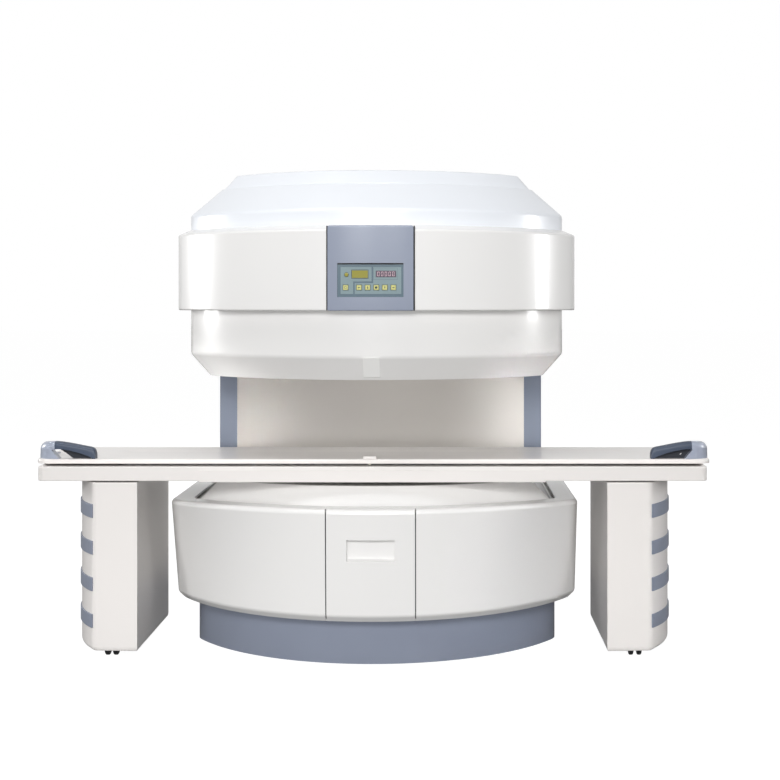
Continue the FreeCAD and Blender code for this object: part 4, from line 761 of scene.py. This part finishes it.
# The frames inside the legs and their necks are grey painted steel, darkened as painted shade for the shade
# under the legs and in the gap below the beam.
frame_grey_and_painted_shade = finish_of("grey_steel_frame_and_painted_shade", "#4A4D52", "#404347", 80, 2.0, 0.03,
                          Roughness=0.45, IOR=1.5)
stem_across, stem_rows, well_radius, well_top, leg_top = 0.965, (-0.640, -0.220), 0.066, 0.0965, 0.6488
strap_low, strap_pitch, strap_wide, strap_thick = 0.121, 0.133, 0.050, 0.005
for side, word in ((-1, "left"), (1, "right")):
    leg_section = rounded([(0.034, 0.037), (0.0, 0.037, 0.028), (0.0, leg_top, 0.004), (0.010, leg_top)])
    leg = skinned(word + "_leg_shell", [leg_plan(side, inset) for inset, z in leg_section],
                  [z for inset, z in leg_section], section_shut=False, lid=True, foot=True)
    for y in stem_rows:
        well = []
        sweep(well, side * stem_across, y, well_radius, 0.0, math.tau * 47 / 48, 47)
        carve(leg, upright("caster_well", well, 0.02, well_top))
    room = [(leg_inner + leg_sheet, leg_front + leg_sheet)] + leg_bend(leg_sheet)
    room.append((leg_inner + leg_sheet, leg_rear - leg_sheet))
    carve(leg, upright("leg_room", [(side * x, y) for x, y in room], 0.0957, 0.643))
    fitted(ease(leg, 0.0016), "table", "table_cream", gloss_warm, word + "_leg")
    neck = upright(word + "_leg_neck", leg_plan(side, 0.040), leg_top - 0.0001, 0.6539)
    fitted(neck, "table", "frame_steel", frame_grey_and_painted_shade)
    straps = []
    for i in range(4):
        low = strap_low + strap_pitch * i
        high = low + strap_wide
        strap_section = rounded([(0.0003, low), (-strap_thick, low, 0.0018), (-strap_thick, high, 0.0018),
                                 (0.0003, high)])
        rings = [[(side * x, y) for x, y in leg_bend(inset, math.radians(-56.6))]
                 for inset, z in strap_section]
        straps.append(skinned("strap_%d" % i, rings, [z for inset, z in strap_section], ring_shut=False))
    joined = bmesh.new()
    for strap in straps:
        joined.from_mesh(strap.data)
        bpy.data.objects.remove(strap)
    mesh = bpy.data.meshes.new(word + "_bumper_straps")
    joined.to_mesh(mesh)
    joined.free()
    bumpers = bpy.data.objects.new(word + "_bumper_straps", mesh)
    bpy.context.scene.collection.objects.link(bumpers)
    fitted(ease(bumpers, 0.0012), "table", "strap_rubber", bumper_rubber, word + "_leg_straps")
coat(frame_grey_and_painted_shade, "leg_frames")


# --- casters -------------------------------------------------------------------------------------------
# Four twin-wheel casters sit in wells under the legs: a nylon hood on a steel stem, with two
# moulded wheels that trail behind it on one axle.

# Black nylon: satin, with the faint flow marks of moulding.
black_nylon = finish_of("black_moulded_nylon", "#1B1C1E", "#242528", 20, 0.8, 0.03,
                        Roughness=0.44, IOR=1.53)
caster_trail, wheel_radius = 0.020, 0.0375
wheel_profile = [(0.007, 0.0042), (0.007, 0.0320), (0.0078, 0.0350), (0.0100, 0.0371), (0.0120, 0.0375),
                 (0.0185, 0.0375), (0.0208, 0.0368), (0.0224, 0.0348), (0.0229, 0.0310), (0.0226, 0.0285),
                 (0.0206, 0.0268), (0.0206, 0.0125), (0.0222, 0.0105), (0.0228, 0.0042)]


def turned_about_axle(profile, x, y, steps=40):
    """Points and faces of a closed (across, radius) section turned about an axle along X."""
    count = len(profile)
    turns = [math.tau * i / steps for i in range(steps)]
    points = [(x + a, y + r * math.cos(t), wheel_radius + r * math.sin(t))
              for t in turns for a, r in profile]
    faces = []
    for i in range(steps):
        this, following = i * count, (i + 1) % steps * count
        for j in range(count):
            n = (j + 1) % count
            faces.append((this + j, this + n, following + n, following + j))
    return points, faces


axle = [(-0.0232, 0.0001), (-0.0232, 0.0039), (0.0232, 0.0039), (0.0232, 0.0001)]
for side, x in (("left", -stem_across), ("right", stem_across)):
    for end, stem_y in zip(("front", "rear"), stem_rows):
        corner = end + "_" + side
        points, faces = [], []
        for profile in (wheel_profile, [(-a, r) for a, r in wheel_profile], axle):
            some, more = turned_about_axle(profile, x, stem_y + caster_trail)
            faces += [tuple(len(points) + i for i in face) for face in more]
            points += some
        wheels = made("twin_wheels_" + corner, points, faces)
        fitted(wheels, "wheels_" + corner, "caster_black", black_nylon, "caster_wheels_" + corner)
        coat(black_nylon, "caster_fork_" + corner)


# --- studio ------------------------------------------------------------------------------------------
# A pale paper floor and white air round the object, lit by soft boxes, and the camera where
# the photograph's was: 5.8 m off and 1.3 m up, a little right of the middle.

floor_mesh = bpy.data.meshes.new("studio_floor")
floor_mesh.from_pydata([(-60, -60, 0), (60, -60, 0), (60, 60, 0), (-60, 60, 0)], [], [(0, 1, 2, 3)])
studio_floor = bpy.data.objects.new("studio_floor", floor_mesh)
bpy.context.scene.collection.objects.link(studio_floor)
paper = bpy.data.materials.new("white_paper")
paper.use_nodes = True
tree = paper.node_tree
surface = tree.nodes["Principled BSDF"]
surface.inputs["Base Color"].default_value = shade("#707070")
surface.inputs["Roughness"].default_value = 0.9
surface.inputs["Specular IOR Level"].default_value = 0.0
# It glows nearly white to the camera, far less in reflections, and not at all onto the object.
ray = add(tree, "ShaderNodeLightPath")
mirrored = add(tree, "ShaderNodeMath", [(ray.outputs["Is Glossy Ray"], 0)], operation="MULTIPLY")
mirrored.inputs[1].default_value = 0.14
seen = add(tree, "ShaderNodeMath", [(ray.outputs["Is Camera Ray"], 0),
                                    (ray.outputs["Is Transmission Ray"], 1)], operation="MAXIMUM")
lift = add(tree, "ShaderNodeMath", [(seen.outputs[0], 0), (mirrored.outputs[0], 2)],
           operation="MULTIPLY_ADD")
lift.inputs[1].default_value = 0.986
surface.inputs["Emission Color"].default_value = (1.0, 1.0, 1.0, 1.0)
tree.links.new(lift.outputs[0], surface.inputs["Emission Strength"])
floor_mesh.materials.append(paper)

air = bpy.data.worlds.new("studio_air")
bpy.context.scene.world = air
air.use_nodes = True
tree = air.node_tree
tree.nodes.clear()
# The air is white to the camera and in reflections, and lights the object only a little.
ray = add(tree, "ShaderNodeLightPath")
mirrored = add(tree, "ShaderNodeMath", [(ray.outputs["Is Glossy Ray"], 0)], operation="MULTIPLY")
mirrored.inputs[1].default_value = 0.85
seen = add(tree, "ShaderNodeMath", [(ray.outputs["Is Camera Ray"], 0),
                                    (ray.outputs["Is Transmission Ray"], 1)], operation="MAXIMUM")
seen = add(tree, "ShaderNodeMath", [(seen.outputs[0], 0), (mirrored.outputs[0], 1)], operation="MAXIMUM")
level = add(tree, "ShaderNodeMapRange", [(seen.outputs[0], "Value")])
level.inputs["To Min"].default_value = 0.05
level.inputs["To Max"].default_value = 1.0
white = add(tree, "ShaderNodeBackground", [(level.outputs[0], "Strength")], Color=(1, 1, 1, 1))
add(tree, "ShaderNodeOutputWorld", [(white.outputs[0], "Surface")])


def soft_box(name, place, target, width, height, power, spread=180, mirrored=True):
    """An area lamp that looks at a target; spread narrows its light to a cone, in degrees."""
    lamp = bpy.data.lights.new(name, "AREA")
    lamp.shape, lamp.size, lamp.size_y, lamp.energy = "RECTANGLE", width, height, power
    lamp.spread = math.radians(spread)
    holder = bpy.data.objects.new(name, lamp)
    bpy.context.scene.collection.objects.link(holder)
    holder.location = place
    holder.rotation_euler = (Vector(target) - Vector(place)).to_track_quat("-Z", "Y").to_euler()
    holder.visible_glossy = mirrored


# Two high boxes in front, a low one that reaches under the upper housing, a strip at each side whose
# reflection runs down the corners, one box above and one behind. Of four gridded lamps two shine low
# on the ends of the lower housing and the legs, and two cross in the bay.
soft_box("left_box", (-0.9, -6.4, 2.9), (0.0, -0.6, 0.8), 1.4, 1.4, 128)
soft_box("right_box", (0.9, -6.4, 2.9), (0.0, -0.6, 0.8), 1.4, 1.4, 76)
soft_box("low_box", (0.1, -7.2, 1.0), (0.0, -0.6, 0.5), 1.4, 0.7, 128, mirrored=False)
soft_box("left_strip", (-5.0, 0.4, 1.8), (0.0, -0.6, 1.4), 1.0, 1.2, 84)
soft_box("right_strip", (5.2, -0.4, 1.8), (0.0, -0.6, 1.4), 0.7, 1.2, 60)
soft_box("top_box", (-0.6, -1.4, 5.0), (0.0, -0.4, 0.0), 3.0, 2.6, 72)
soft_box("back_box", (0.5, 6.5, 3.0), (0.0, 0.0, 0.8), 3.0, 1.6, 170, mirrored=False)
soft_box("left_low", (-3.4, -5.0, 0.45), (-0.75, -0.7, 0.12), 0.8, 0.4, 0.85, spread=22, mirrored=False)
soft_box("right_low", (3.4, -5.0, 0.45), (0.75, -0.7, 0.12), 0.8, 0.4, 0.8, spread=22, mirrored=False)
soft_box("left_grid", (-4.6, -2.0, 1.1), (0.60, 0.0, 0.87), 0.3, 0.12, 0.32, spread=7, mirrored=False)
soft_box("right_grid", (4.6, -2.0, 1.1), (-0.60, 0.0, 0.87), 0.3, 0.12, 0.22, spread=7, mirrored=False)

# The photograph's own size, focal length and vanishing point, in pixels.
picture, focal, vanishing_x, vanishing_y = 780.0, 1389.5, 442.0, 303.0
eye = bpy.data.cameras.new("photo_eye")
eye.sensor_width = 36.0
eye.lens = eye.sensor_width * focal / picture
eye.shift_x = -(vanishing_x - picture / 2) / picture
eye.shift_y = -(picture / 2 - vanishing_y) / picture
eye.clip_start, eye.clip_end = 0.05, 200.0
photo_camera = bpy.data.objects.new("photo_camera", eye)
bpy.context.scene.collection.objects.link(photo_camera)
photo_camera.location = (0.253, -5.76, 1.30)
photo_camera.rotation_euler = (math.pi / 2, 0.0, 0.0)
bpy.context.scene.camera = photo_camera
bpy.context.scene.view_settings.view_transform = "Standard"
